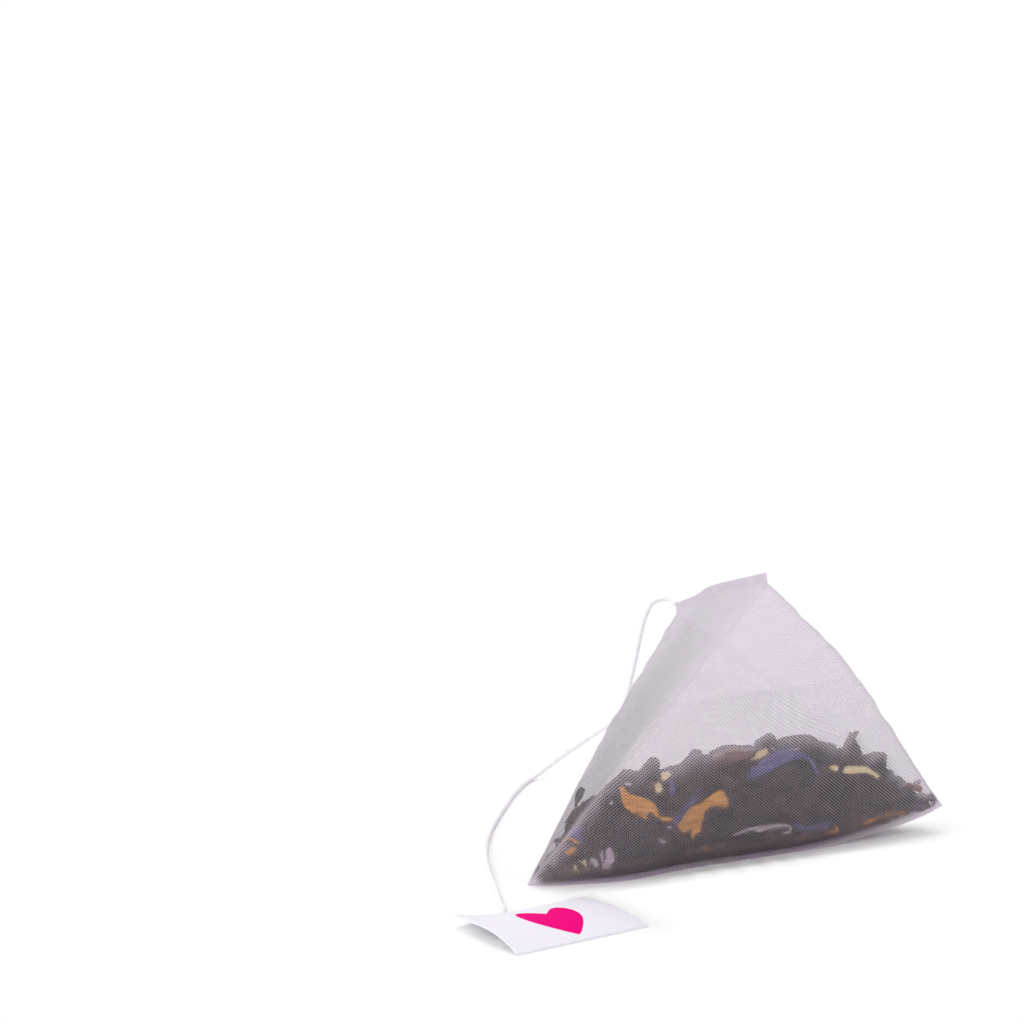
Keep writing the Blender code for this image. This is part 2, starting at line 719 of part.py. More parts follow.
def heart_point(share):
    """Outline of a plain heart, from its notch round by the right lobe and the point."""
    t = 2 * math.pi * share
    x = math.sin(t) ** 3
    y = (13 * math.cos(t) - 5 * math.cos(2 * t) - 2 * math.cos(3 * t) - math.cos(4 * t) + 2.5) / 29
    return np.array([HEART_AT[0] + x * HEART_WIDTH / 2, HEART_AT[1] + y * HEART_HEIGHT])


def card_edge_point(k):
    """Point k round the card's edge, from the middle of its top side towards the right."""
    side, along = divmod(k + TAG_SIDE_POINTS // 2, TAG_SIDE_POINTS)
    share = 2 * along / TAG_SIDE_POINTS - 1
    places = [(share, 1.0), (1.0, -share), (-share, -1.0), (-1.0, share)]
    u, v = places[side % 4]
    return np.array([u * TAG_LENGTH / 2, v * TAG_WIDTH / 2])


def build_tag():
    n = 4 * TAG_SIDE_POINTS
    heart = [heart_point(k / n) for k in range(n)]
    edge = [card_edge_point(k) for k in range(n)]
    middle = np.array(HEART_AT)
    flat, raised = [middle], [True]
    for share, ink in ((0.35, True), (0.7, True), (1.0, True), (1.0, False)):
        flat += [middle + (p - middle) * share for p in heart]
        raised += [ink] * n
    for share in (0.45, 1.0):
        flat += [p + (q - p) * share for p, q in zip(heart, edge)]
        raised += [False] * n
    c, s = math.cos(TAG_TURN), math.sin(TAG_TURN)

    def at(p, above):
        z = tag_height(2 * p[0] / TAG_LENGTH, 2 * p[1] / TAG_WIDTH) + above
        return (TAG_CENTRE[0] + c * p[0] - s * p[1], TAG_CENTRE[1] + s * p[0] + c * p[1], z)

    count = len(flat)
    top = [at(p, TAG_PAPER + (INK if ink else 0.0)) for p, ink in zip(flat, raised)]
    bottom = [at(p, 0.0) for p in flat]
    faces = []
    for k in range(n):
        j = (k + 1) % n
        faces.append((0, 1 + k, 1 + j))
        faces.append((count, count + 1 + j, count + 1 + k))
        for level in range(5):
            a, b = 1 + level * n, 1 + (level + 1) * n
            faces.append((a + k, b + k, b + j, a + j))
            if level != 2:
                faces.append((count + a + k, count + a + j, count + b + j, count + b + k))
        last = 1 + 5 * n
        faces.append((last + k, count + last + k, count + last + j, last + j))
    mesh = mesh_of("tag", top + bottom, faces)
    add_part("tag", mesh, finish("card", (0.86, 0.85, 0.90), 0.7), finish("print", (0.87, 0.0, 0.22), 0.6))
    inked = [Vector(p) for p, ink in zip(top, raised) if ink]
    for face in mesh.polygons:
        corners = [mesh.vertices[v].co for v in face.vertices]
        face.material_index = int(all(min((q - p).length for q in inked) < INK / 10 for p in corners))


build_tag()
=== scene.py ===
"""Looks of the pyramid tea bag: sheer woven film, leaf tea with petals, cotton string and paper tag.

Sizes are in metres, written as millimetres times MM. X runs along the bottom seal, Y away from the
front face and Z up, as in the frame.
"""
import math
import random

import bmesh
import bpy
import numpy as np
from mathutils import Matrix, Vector, noise
from mathutils.bvhtree import BVHTree
from mathutils.geometry import delaunay_2d_cdt


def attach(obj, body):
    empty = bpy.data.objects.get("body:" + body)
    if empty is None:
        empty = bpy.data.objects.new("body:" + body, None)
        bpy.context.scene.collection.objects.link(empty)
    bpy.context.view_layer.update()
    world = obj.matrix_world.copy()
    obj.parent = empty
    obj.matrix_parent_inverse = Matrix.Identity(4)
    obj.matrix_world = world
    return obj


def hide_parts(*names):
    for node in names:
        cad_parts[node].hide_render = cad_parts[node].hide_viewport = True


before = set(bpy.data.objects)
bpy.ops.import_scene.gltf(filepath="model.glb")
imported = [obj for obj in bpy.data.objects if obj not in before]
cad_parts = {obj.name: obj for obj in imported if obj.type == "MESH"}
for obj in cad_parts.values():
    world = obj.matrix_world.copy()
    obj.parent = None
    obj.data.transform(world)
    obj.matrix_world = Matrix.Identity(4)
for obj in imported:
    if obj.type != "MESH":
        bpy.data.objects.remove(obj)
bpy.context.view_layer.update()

MM = 0.001
noise.seed_set(7)  # so that every run makes the same rough and ragged places

# Camera and light. The bag stands on a white table under an even sky, with one soft lamp behind it and
# one on its left. It is seen a little from above and from its left.

CAMERA_AT = (-172.91 * MM, -294.0 * MM, 96.68 * MM)
CAMERA_DOWN = math.radians(8.39)
CAMERA_TURN = math.radians(-25.72)
LENS = 87.89

camera_data = bpy.data.cameras.new("camera")
camera_data.lens = LENS
camera_data.sensor_width = 36.0
camera_data.clip_start = 0.01
camera = bpy.data.objects.new("camera", camera_data)
camera.location = CAMERA_AT
camera.rotation_euler = (math.pi / 2 - CAMERA_DOWN, 0.0, CAMERA_TURN)
bpy.context.collection.objects.link(camera)
bpy.context.scene.camera = camera
bpy.context.scene.view_settings.view_transform = "Standard"

SKY = 0.80
WHITE = (1.0, 1.0, 1.0, 1.0)


def wired(tree, links):
    """Joins node sockets, each given as (node, output, node, input)."""
    for source, output, target, entry in links:
        tree.links.new(source.outputs[output], target.inputs[entry])


def new_finish(name, roughness, shine):
    """A new material, with its node tree and its main shader."""
    made = bpy.data.materials.new(name)
    made.use_nodes = True
    shader = made.node_tree.nodes["Principled BSDF"]
    shader.inputs["Roughness"].default_value = roughness
    shader.inputs["Specular IOR Level"].default_value = shine
    return made, made.node_tree, shader


def node_with(tree, kind, **values):
    """A new node with values for its inputs, an underscore in a name standing for a space."""
    made = tree.nodes.new(kind)
    for entry, value in values.items():
        made.inputs[entry.replace("_", " ")].default_value = value
    return made


def ramp_between(tree, low_at, low, high_at, high):
    """A colour ramp from one colour to another."""
    made = tree.nodes.new("ShaderNodeValToRGB")
    first_stop, last_stop = made.color_ramp.elements
    first_stop.position, first_stop.color = low_at, (*low, 1.0)
    last_stop.position, last_stop.color = high_at, (*high, 1.0)
    return made


def ring_faces(rows, n):
    """Faces between rows of n points each, where every row is a closed ring."""
    faces = []
    for j in range(rows - 1):
        for i in range(n):
            k = (i + 1) % n
            faces.append((j * n + i, j * n + k, (j + 1) * n + k, (j + 1) * n + i))
    return faces


def light_sky():
    """An even sky that looks white to the camera and in glossy or clear things."""
    world = bpy.data.worlds.new("studio")
    bpy.context.scene.world = world
    world.use_nodes = True
    tree = world.node_tree
    tree.nodes.clear()
    path = tree.nodes.new("ShaderNodeLightPath")
    seen = tree.nodes.new("ShaderNodeMath")
    seen.operation = "MAXIMUM"
    seen_through = tree.nodes.new("ShaderNodeMath")
    seen_through.operation = "MAXIMUM"
    plain = node_with(tree, "ShaderNodeBackground", Color=(1.0, 0.99, 0.99, 1.0), Strength=SKY)
    white = node_with(tree, "ShaderNodeBackground", Color=WHITE)
    mix = tree.nodes.new("ShaderNodeMixShader")
    out = tree.nodes.new("ShaderNodeOutputWorld")
    wired(
        tree,
        [
            (path, "Is Camera Ray", seen, 0),
            (path, "Is Glossy Ray", seen, 1),
            (seen, 0, seen_through, 0),
            (path, "Is Transmission Ray", seen_through, 1),
            (seen_through, 0, mix, 0),
            (plain, 0, mix, 1),
            (white, 0, mix, 2),
            (mix, 0, out, 0),
        ],
    )


def add_lamp(name, at, aim, width, power):
    lamp = bpy.data.lights.new(name, "AREA")
    lamp.size = width
    lamp.energy = power
    made = bpy.data.objects.new(name, lamp)
    made.location = at
    made.rotation_euler = (Vector(aim) - Vector(at)).to_track_quat("-Z", "Y").to_euler()
    bpy.context.collection.objects.link(made)


light_sky()
add_lamp("back_lamp", (0.10, 0.40, 0.60), (0.0, 0.0, 0.0), 0.35, 1.2)
add_lamp("left_lamp", (-0.62, -0.22, 0.34), (0.0, 0.0, 0.02), 0.5, 1.3)


# Mesh pouch. A tube of sheer woven nylon film, 66 mm wide when it lies flat, sealed across its bottom,
# filled, and sealed across its top at a right angle to that. The seals are pressed fins of two layers.

FLAT_WIDTH = 66.0 * MM
TUBE_LENGTH = 46.0 * MM
SEAL_WIDTH = 2.0 * MM
TOP_SEAL_WIDTH = 1.3 * MM
TOP_TAKEUP = 9.3 * MM
BOTTOM_SEAL_Y = -8.15 * MM
BOTTOM_RISE = 3.1 * MM
BOTTOM_BOW = 2.3 * MM
BOTTOM_BOW_SLANT = 0.3
BOTTOM_BOW_LEFT = 1.2 * MM
TOP_CENTRE = (0.3 * MM, 0.15 * MM, 35.7 * MM)
TOP_TURN = math.radians(72.5)
TOP_TILT = math.radians(14.4)
TOP_WAVE = 0.7 * MM
TOP_CROWN = 0.6 * MM
FRONT_BULGE = 3.2 * MM
BASE_BULGE = 8.5 * MM
LEFT_BULGE = 0.9 * MM
RIGHT_BULGE = 3.0 * MM
END_BULGE = 0.5 * MM
FILL_TOP = 0.62
FOLD_ROUNDING = 0.8 * MM
FILM_ABOVE_FLOOR = 0.12 * MM
FRONT_WAY = np.array([0.0, -1.0, -0.15])
BASE_WAY = np.array([0.0, 0.64, -0.77])
TOP_SPAN = FLAT_WIDTH - TOP_TAKEUP
TOP_ALONG = np.array(
    [
        math.cos(TOP_TURN) * math.cos(TOP_TILT),
        math.sin(TOP_TURN) * math.cos(TOP_TILT),
        -math.sin(TOP_TILT),
    ]
)


def unit(v):
    return v / np.linalg.norm(v)


AXIS = unit(np.array(TOP_CENTRE) - np.array([0.0, BOTTOM_SEAL_Y, BOTTOM_RISE / 2]))
TOP_ACROSS = unit(np.cross(TOP_ALONG, AXIS))


def bottom_edge(s):
    """Outer edge of the bottom seal, from its left end at s = -1 to its right end at s = 1."""
    left = BOTTOM_BOW_LEFT * np.exp(-(((s + 0.6) / 0.22) ** 2))
    bow = (BOTTOM_BOW * (1 - BOTTOM_BOW_SLANT * s) + left) * (1 - s**8)
    lift = BOTTOM_RISE * np.maximum(0.0, (s - 0.1) / 0.9) ** 2
    return np.stack([s * FLAT_WIDTH / 2, BOTTOM_SEAL_Y - bow, lift + FILM_ABOVE_FLOOR], axis=-1)


def bottom_root(s):
    inward = SEAL_WIDTH * (1 - np.abs(s) ** 6)
    return bottom_edge(s) + inward[..., None] * np.array([0.0, 1.0, 0.0])


def top_edge(s):
    """Outer edge of the top seal, from its near end at s = -1 to its far end at s = 1."""
    wave = TOP_WAVE * np.sin(1.5 * math.pi * (s + 1)) * (1 - s**4)
    crown = TOP_CROWN * (1 - s * s)
    spread = s[..., None] * TOP_SPAN / 2 * TOP_ALONG
    return np.array(TOP_CENTRE) + spread + wave[..., None] * TOP_ACROSS + crown[..., None] * AXIS


def top_root(s):
    return top_edge(s) - TOP_SEAL_WIDTH * AXIS


def square_section(across, rise):
    """Place on a section with sharp folds: su runs along the bottom seal, sv along the top seal."""
    w = FLAT_WIDTH
    a = np.mod(across, 2 * w)
    side = np.maximum(w * rise / 2, 1e-9)
    face = np.maximum(w * (1 - rise) / 2, 1e-9)
    places = [(a <= side) | (a >= 2 * w - side), a < w - side, a <= w + side]
    su = np.select(places, [-1.0, (a - w / 2) / face, 1.0], (1.5 * w - a) / face)
    left = np.where(a <= side, -a, 2 * w - a) / side
    sv = np.select(places, [left, -1.0, (a - w) / side], 1.0)
    return np.clip(su, -1, 1), np.clip(sv, -1, 1)


def film(across, rise, inset=0.0):
    """A place on the film, or inset into the bag, at across round the tube and rise from seal to seal."""
    across, rise = np.broadcast_arrays(np.asarray(across, float), np.asarray(rise, float))
    rounding = FOLD_ROUNDING * np.minimum(1.0, np.minimum(8 * rise, 8 * (1 - rise)))
    filled = np.sin(math.pi * np.clip(rise / FILL_TOP, 0, 1)) ** 0.8
    soft = np.sin(math.pi * rise)
    soft_right = np.sin(math.pi * rise**1.5)
    samples = (-6 / 7, -4 / 7, -2 / 7, 0.0, 2 / 7, 4 / 7, 6 / 7)
    total = np.zeros(across.shape + (3,))
    for share in samples:
        su, sv = square_section(across + share * rounding, rise)
        su = su * (1 - inset / np.maximum(FLAT_WIDTH * (1 - rise) / 2, 1.4 * inset + 1e-9))
        sv = sv * (1 - inset / np.maximum(FLAT_WIDTH * rise / 2, 1.4 * inset + 1e-9))
        p = (1 - rise)[..., None] * bottom_root(su) + rise[..., None] * top_root(sv)
        full = 1 - su * su
        front = FRONT_BULGE * filled * full * np.maximum(0, -sv)
        base = BASE_BULGE * filled * full**0.7 * np.maximum(0, sv)
        sideways = np.where(su > 0, RIGHT_BULGE * soft_right, LEFT_BULGE * soft) * (1 - 0.3 * sv * sv)
        endways = END_BULGE * soft * (1 - 0.5 * full)
        p = p + front[..., None] * FRONT_WAY + base[..., None] * BASE_WAY
        p = p + (sideways * su)[..., None] * np.array([1.0, 0.0, 0.0])
        p = p + (endways * sv)[..., None] * np.array([0.0, 1.0, 0.0])
        total = total + p
    total = total / len(samples)
    total[..., 2] = np.maximum(total[..., 2], FILM_ABOVE_FLOOR + inset)
    return total


def film_normal(across, rise):
    """Outward direction of the film."""
    across, rise = np.broadcast_arrays(np.asarray(across, float), np.asarray(rise, float))
    step = 0.4 * MM
    low, high = np.maximum(rise - 0.01, 0.004), np.minimum(rise + 0.01, 0.996)
    along = film(across + step, rise) - film(across - step, rise)
    n = np.cross(along, film(across, high) - film(across, low))
    return n / np.linalg.norm(n, axis=-1, keepdims=True)


FILM_COLUMNS = 330
FILM_ROWS = 116
FIN_ROWS = 5
LAYER_GAP = 0.05 * MM
WRINKLE = 0.30 * MM
LAP_AT = 81.0 * MM  # the lap seam, on the hidden back
LAP_WIDTH = 5.0 * MM
LAP_WHITENING = 0.12
SEAL_WHITENING = 0.22
FOOT_WHITENING = 0.45  # denser look of the film close above the bottom seal
FOOT_REACH = 4.0 * MM
MAP_SIZE = 0.14  # metres of film to one unit of its map
MAP_MARGIN = 4.0 * MM
CRIMP = 0.12 * MM  # small waves of the bottom seal


def film_wrinkle(across, up, rise):
    """Small soft dents in the loose film, along slanting pulls, and fine puckers beside the seals."""
    a, v = across / MM, up / MM
    slant = noise.noise(Vector((0.09 * a + 0.05 * v, 0.30 * v - 0.14 * a, 3.1)))
    other = noise.noise(Vector((0.12 * a - 0.04 * v, 0.26 * v + 0.17 * a, 8.7)))
    fine = noise.noise(Vector((0.55 * a, 0.35 * v, 1.3)))
    loose = min(1.0, max(0.0, (rise - 0.3) / 0.25)) * min(1.0, (1 - rise) / 0.08)
    near_seal = math.exp(-v / 2.4) + math.exp(-(TUBE_LENGTH / MM - v) / 1.6)
    pucker = noise.noise(Vector((1.1 * a, 0.12 * v, 5.0))) * near_seal
    body = (0.9 * slant + 0.7 * other) * (0.25 + 0.75 * loose) + 0.2 * fine
    ease = min(1.0, rise / 0.05) * min(1.0, (1 - rise) / 0.05)
    return WRINKLE * (body + 0.5 * pucker) * ease


def painted_fold_highlight(across, rise):
    """How much painted highlight the film gets along its folds, from 0 to 1."""
    w = FLAT_WIDTH
    side = w * rise / 2
    gap = min(abs((across - fold + w) % (2 * w) - w) for fold in (side, w - side, w + side, 2 * w - side))
    return 0.8 * math.exp(-((gap / (0.34 * MM)) ** 2)) * abs(math.cos(math.pi * rise)) ** 1.5


def seal_side(around, top):
    """Place along a seal from -1 to 1, and which of its two layers each film line is in."""
    w = FLAT_WIDTH
    a = np.mod(around - (w / 2 if top else 0.0), 2 * w)
    s = np.where(a <= w, a / (w / 2) - 1, 3 - a / (w / 2))
    layer = np.where(np.abs(s) > 0.999, 0.0, np.where(a < w, 1.0, -1.0))
    return s, layer[:, None]


def weave_film():
    around = np.linspace(0, 2 * FLAT_WIDTH, FILM_COLUMNS, endpoint=False)
    rows, ups, fins = [], [], []
    side, layer = seal_side(around, False)
    root, edge = bottom_root(side), bottom_edge(side)
    crimp = np.array([noise.noise(Vector((x * 260, 0.0, 2.0))) for x in side * FLAT_WIDTH]) * CRIMP
    for k in range(FIN_ROWS):
        share = 1 - k / FIN_ROWS
        place = root + (edge - root) * share + layer * LAYER_GAP * np.array([0.0, 0.0, 1.0])
        place[:, 2] += np.abs(crimp) * share
        rows.append(place)
        ups.append(-SEAL_WIDTH * share)
        fins.append(1.0)
    for rise in np.linspace(0, 1, FILM_ROWS):
        inner_rise = min(max(rise, 0.002), 0.998)
        place, way = film(around, inner_rise), film_normal(around, inner_rise)
        up = rise * TUBE_LENGTH
        dents = np.array([film_wrinkle(a, up, rise) for a in around])
        dents[0], dents[-1] = (dents[0] + dents[-1]) / 2, (dents[0] + dents[-1]) / 2
        place = place + way * dents[:, None]
        place[:, 2] = np.maximum(place[:, 2], FILM_ABOVE_FLOOR)
        rows.append(place)
        ups.append(up)
        fins.append(0.0)
    side, layer = seal_side(around, True)
    root, edge = top_root(side), top_edge(side)
    for k in range(1, FIN_ROWS + 1):
        share = k / FIN_ROWS
        rows.append(root + (edge - root) * share + layer * LAYER_GAP * TOP_ACROSS)
        ups.append(TUBE_LENGTH + TOP_SEAL_WIDTH * share)
        fins.append(1.0)
    n = FILM_COLUMNS
    mesh = bpy.data.meshes.new("film_pouch")
    mesh.from_pydata(np.concatenate(rows).tolist(), [], ring_faces(len(rows), n))
    flat = mesh.uv_layers.new(name="film_lengths")
    step = 2 * FLAT_WIDTH / n
    values = []
    for j in range(len(rows) - 1):
        low, high = (ups[j] + MAP_MARGIN) / MAP_SIZE, (ups[j + 1] + MAP_MARGIN) / MAP_SIZE
        for i in range(n):
            left, right = i * step / MAP_SIZE, (i + 1) * step / MAP_SIZE
            values += [left, low, right, low, right, high, left, high]
    flat.data.foreach_set("uv", values)
    # The whitening map holds the real whitening of the seal fins, the lap and the film above the bottom seal,
    # and a painted highlight along the folds.
    white = mesh.attributes.new("whitening_and_fold_highlight", "FLOAT", "POINT")
    marks = []
    for up, fin in zip(ups, fins):
        rise = up / TUBE_LENGTH
        for a in around:
            lap = LAP_WHITENING if abs(a - LAP_AT) < LAP_WIDTH / 2 and not fin else 0.0
            foot = FOOT_WHITENING * math.exp(-up / FOOT_REACH)
            marks.append(SEAL_WHITENING if fin else max(lap, foot, painted_fold_highlight(a, rise)))
    white.data.foreach_set("value", marks)
    mesh.polygons.foreach_set("use_smooth", [True] * len(mesh.polygons))
    pouch = bpy.data.objects.new("film_pouch", mesh)
    bpy.context.collection.objects.link(pouch)
    return pouch


def sums(tree):
    """A shorthand for math nodes in a tree: operation and up to three values or (node, output)."""

    def step(operation, *values):
        node = tree.nodes.new("ShaderNodeMath")
        node.operation = operation
        for slot, value in enumerate(values):
            if isinstance(value, tuple):
                tree.links.new(value[0].outputs[value[1]], node.inputs[slot])
            else:
                node.inputs[slot].default_value = value
        return (node, 0)

    return step


THREADS_ROUND = 270
PITCH = 2 * FLAT_WIDTH / MM / (math.sqrt(2) * THREADS_ROUND)  # millimetres from thread to thread
THREAD = 0.37  # share of the pitch that a thread covers
FILM_COLOUR = (0.70, 0.635, 0.71, 1.0)
# Colour of the whitened film, and of the painted highlights on the folds and on the thread crossings.
WHITENED_AND_LIT_THREAD_COLOUR = (0.90, 0.84, 0.92, 1.0)
HAZE = 0.15  # what the open squares hold back, by stray fibres and size
THREAD_BODY = 0.90  # what the threads hold back
LET_THROUGH = 0.77  # share of the light on the clear threads that goes through them


def plain_weave(tree, step, flat):
    """Plain weave on the slant, from film lengths in millimetres: threads over and under in turn.

    Gives where the threads are, from 0 to 1, and how high they stand.
    """
    split = tree.nodes.new("ShaderNodeSeparateXYZ")
    tree.links.new(flat.outputs[0], split.inputs[0])
    ways = []
    for way in ("ADD", "SUBTRACT"):
        turn = step("DIVIDE", step(way, (split, "X"), (split, "Y")), PITCH * math.sqrt(2))
        from_middle = step("ABSOLUTE", step("SUBTRACT", step("FRACT", turn), 0.5))
        shape = step("DIVIDE", from_middle, THREAD / 2)
        inside = step("MAXIMUM", step("SUBTRACT", 1.0, step("MULTIPLY", shape, shape)), 0.0)
        ways.append((inside, step("MINIMUM", step("MULTIPLY", inside, 4.0), 1.0), step("FLOOR", turn)))
    warp, weft = ways
    parity = step("MODULO", step("ABSOLUTE", step("ADD", warp[2], weft[2])), 2.0)
    over_warp = step("MULTIPLY", warp[0], step("ADD", 0.4, step("MULTIPLY", parity, 0.6)))
    over_weft = step("MULTIPLY", weft[0], step("SUBTRACT", 1.0, step("MULTIPLY", parity, 0.6)))
    return step("MAXIMUM", warp[1], weft[1]), step("MAXIMUM", over_warp, over_weft)


def nylon_film():
    """Clear nylon threads with open squares between them. They take most of their light from behind."""
    made, tree, shader = new_finish("nylon_film", 0.42, 0.35)
    step = sums(tree)
    lengths = tree.nodes.new("ShaderNodeUVMap")
    lengths.uv_map = "film_lengths"
    flat = tree.nodes.new("ShaderNodeVectorMath")
    flat.operation = "SCALE"
    flat.inputs["Scale"].default_value = MAP_SIZE / MM
    tree.links.new(lengths.outputs["UV"], flat.inputs[0])
    threads, height = plain_weave(tree, step, flat)
    white = tree.nodes.new("ShaderNodeAttribute")
    white.attribute_name = "whitening_and_fold_highlight"
    cloud = node_with(tree, "ShaderNodeTexNoise", Scale=0.22, Detail=4.0)
    colour = tree.nodes.new("ShaderNodeMix")
    colour.data_type = "RGBA"
    colour.inputs["A"].default_value = FILM_COLOUR
    colour.inputs["B"].default_value = WHITENED_AND_LIT_THREAD_COLOUR
    bump = node_with(tree, "ShaderNodeBump", Strength=0.4, Distance=0.06 * MM)
    through = tree.nodes.new("ShaderNodeBsdfTranslucent")
    body = tree.nodes.new("ShaderNodeMixShader")
    body.inputs[0].default_value = LET_THROUGH
    opening = tree.nodes.new("ShaderNodeBsdfTransparent")
    sheer = tree.nodes.new("ShaderNodeMixShader")
    out = tree.nodes["Material Output"]
    # Painted highlight: the threads' colour is lighter where they cross over, by how high they stand.
    lit = step("MULTIPLY", height, 0.45)
    # Lighter colour and denser cover by the whitening map: real whitening of seals, lap and foot, and a
    # painted highlight along the folds.
    share = step("MINIMUM", step("ADD", step("MULTIPLY", (white, "Fac"), 0.9), lit), 1.0)
    whitened_cover = step("MULTIPLY", (white, "Fac"), 0.7)
    patchy = step("ADD", HAZE - 0.06, step("MULTIPLY", (cloud, "Fac"), 0.12))
    covered = step("ADD", patchy, step("MULTIPLY", threads, THREAD_BODY - HAZE))
    cover = step("MINIMUM", step("ADD", covered, whitened_cover), 1.0)
    wired(
        tree,
        [
            (flat, 0, cloud, "Vector"),
            (share[0], 0, colour, "Factor"),
            (colour, "Result", shader, "Base Color"),
            (colour, "Result", through, "Color"),
            (height[0], 0, bump, "Height"),
            (bump, 0, shader, "Normal"),
            (shader, 0, body, 1),
            (through, 0, body, 2),
            (cover[0], 0, sheer, 0),
            (opening, 0, sheer, 1),
            (body, 0, sheer, 2),
            (sheer, 0, out, "Surface"),
        ],
    )
    return made


pouch = weave_film()
pouch.data.materials.append(nylon_film())
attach(pouch, "root")
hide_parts("mesh_pouch")


# Leaf tea. Dry rolled black leaf, poured in loose and packed by its own weight. A dark core fills the
# inside, some two thousand single leaves lie over it, and crumbs of leaf fill the narrow room at the seal.

TEA_LEVEL = 9.2 * MM
TEA_SLOPE = 0.2
TEA_CROWN = 2.4 * MM
TEA_CROWN_AT = (3.0 * MM, -7.0 * MM)
TEA_CROWN_REACH = 24.0 * MM
TEA_BANK = 0.8  # fall of the leaf that leans on the front film
TEA_TOP = [  # where the leaf's upper edge meets the front film: x, y and height, from left to right
    (-32.5, -8.3, 0.6), (-31.4, -8.7, 2.3), (-29.4, -10.5, 5.8), (-28.2, -11.7, 7.7), (-25.8, -13.8, 11.3),
    (-24.7, -14.7, 12.9), (-23.3, -15.8, 15.1), (-21.1, -16.8, 15.0), (-19.8, -17.8, 16.9),
    (-17.8, -18.0, 15.4), (-15.4, -18.9, 16.6), (-13.2, -19.4, 17.7), (-11.0, -19.1, 17.2),
    (-9.2, -19.3, 18.0), (-5.1, -19.2, 17.5), (-2.8, -19.4, 18.7), (-0.9, -19.1, 17.9), (2.9, -18.9, 18.2),
    (5.6, -18.4, 17.4), (10.3, -17.1, 15.3), (12.0, -17.0, 15.2), (15.1, -15.5, 13.3), (18.4, -14.7, 12.8),
    (22.0, -12.8, 10.2), (24.0, -11.8, 8.3), (27.7, -10.3, 6.0), (28.8, -9.4, 4.7), (30.6, -8.6, 3.5),
    (32.5, -8.3, 3.2),
]
CORE_INSET = 1.9 * MM
LEAF_CLEARANCE = 0.5 * MM
CRUMB_CLEARANCE = 0.14 * MM
PRESSED_LEAVES = 1150
LOOSE_LEAVES = 620
CRUMBS = 420
ROOM_ABOVE = 1.5 * MM  # pressed leaves end this far under the tea's top
NEAR_TOP = 2.4 * MM  # and closer to it than this they lie nearly level
STANDING_LEAVES = [  # across and up the film, lean in degrees, length, width and thickness
    (47.3, 17.6, 96, 5.0, 1.2, 0.5), (52.2, 13.3, 101, 3.2, 1.3, 0.5), (53.7, 12.7, 80, 2.8, 1.3, 0.6),
    (60.4, 5.9, -4, 3.6, 1.1, 0.9), (61.4, 3.0, -12, 3.0, 1.2, 0.6), (62.9, 1.6, 5, 2.2, 0.8, 0.4),
    (122.0, 15.3, 50, 2.8, 1.4, 0.7), (119.2, 15.2, 20, 3.0, 1.4, 0.7), (121.6, 13.4, 35, 3.2, 1.6, 0.8),
    (123.0, 11.6, 75, 2.4, 1.3, 0.6), (120.2, 14.6, -10, 2.6, 1.2, 0.7), (33.6, 21.4, 62, 3.0, 1.6, 0.9),
]

GUIDE_COLUMNS = 220
GUIDE_ROWS = 90
film_points = film(
    np.tile(np.linspace(0, 2 * FLAT_WIDTH, GUIDE_COLUMNS, endpoint=False), GUIDE_ROWS),
    np.repeat(np.linspace(0.002, 0.998, GUIDE_ROWS), GUIDE_COLUMNS),
)
FILM_TREE = BVHTree.FromPolygons(film_points.tolist(), ring_faces(GUIDE_ROWS, GUIDE_COLUMNS))

UP_STEPS = np.linspace(0.0, 1.0, 61)
UP_LINE = film(FLAT_WIDTH / 2, UP_STEPS)
UP_LENGTHS = np.concatenate([[0.0], np.cumsum(np.linalg.norm(np.diff(UP_LINE, axis=0), axis=1))])


def depth_inside(point):
    """How far a point lies inside the film, negative outside it."""
    near, way, _, _ = FILM_TREE.find_nearest(point)
    return -(Vector(point) - near).dot(way)


def kept_inside(points, gap):
    """Points moved in where they come closer to the film than gap."""
    kept = []
    for p in points:
        p = Vector(p)
        for _ in range(3):
            near, way, _, _ = FILM_TREE.find_nearest(p)
            out = (p - near).dot(way) + gap
            if out <= 0:
                break
            p = p - way * out
        kept.append(p)
    return np.array(kept)


def tea_level(x, y):
    """Height of the leaf's top: an even crowned bed with a bank that leans on the front film."""
    xs, ys, tops = np.array(TEA_TOP).T * MM
    fall = y - np.interp(x, xs, ys)
    edge = np.interp(x, xs, tops)
    dx, dy = x - TEA_CROWN_AT[0], y - TEA_CROWN_AT[1]
    distance = np.sqrt(dx * dx + (1.6 * dy) ** 2) / TEA_CROWN_REACH
    bed = TEA_LEVEL - TEA_SLOPE * y + TEA_CROWN * np.maximum(0.0, 1 - distance**2)
    steeper = np.interp(x, np.array([-26.0, -10.0, 14.0, 28.0]) * MM, [0.7, 0.25, 0.25, 0.4])
    return np.maximum(edge - TEA_BANK * fall, np.minimum(bed, edge - steeper * fall))


def lumpy_level(x, y):
    """Tea level with the small hills of loosely poured leaf."""
    spots = zip(np.ravel(x), np.ravel(y))
    hills = [
        noise.noise(Vector((a * 230, b * 230, 4.0))) + 0.6 * noise.noise(Vector((a * 520, b * 520, 9.0)))
        for a, b in spots
    ]
    return tea_level(x, y) + 0.7 * MM * np.reshape(hills, np.shape(x))


def piece_from(name, points, faces, smooth=True):
    mesh = bpy.data.meshes.new(name)
    mesh.from_pydata([tuple(p) for p in points], [], faces)
    work = bmesh.new()
    work.from_mesh(mesh)
    bmesh.ops.recalc_face_normals(work, faces=work.faces)
    work.to_mesh(mesh)
    work.free()
    mesh.polygons.foreach_set("use_smooth", [smooth] * len(mesh.polygons))
    made = bpy.data.objects.new(name, mesh)
    bpy.context.collection.objects.link(made)
    return made


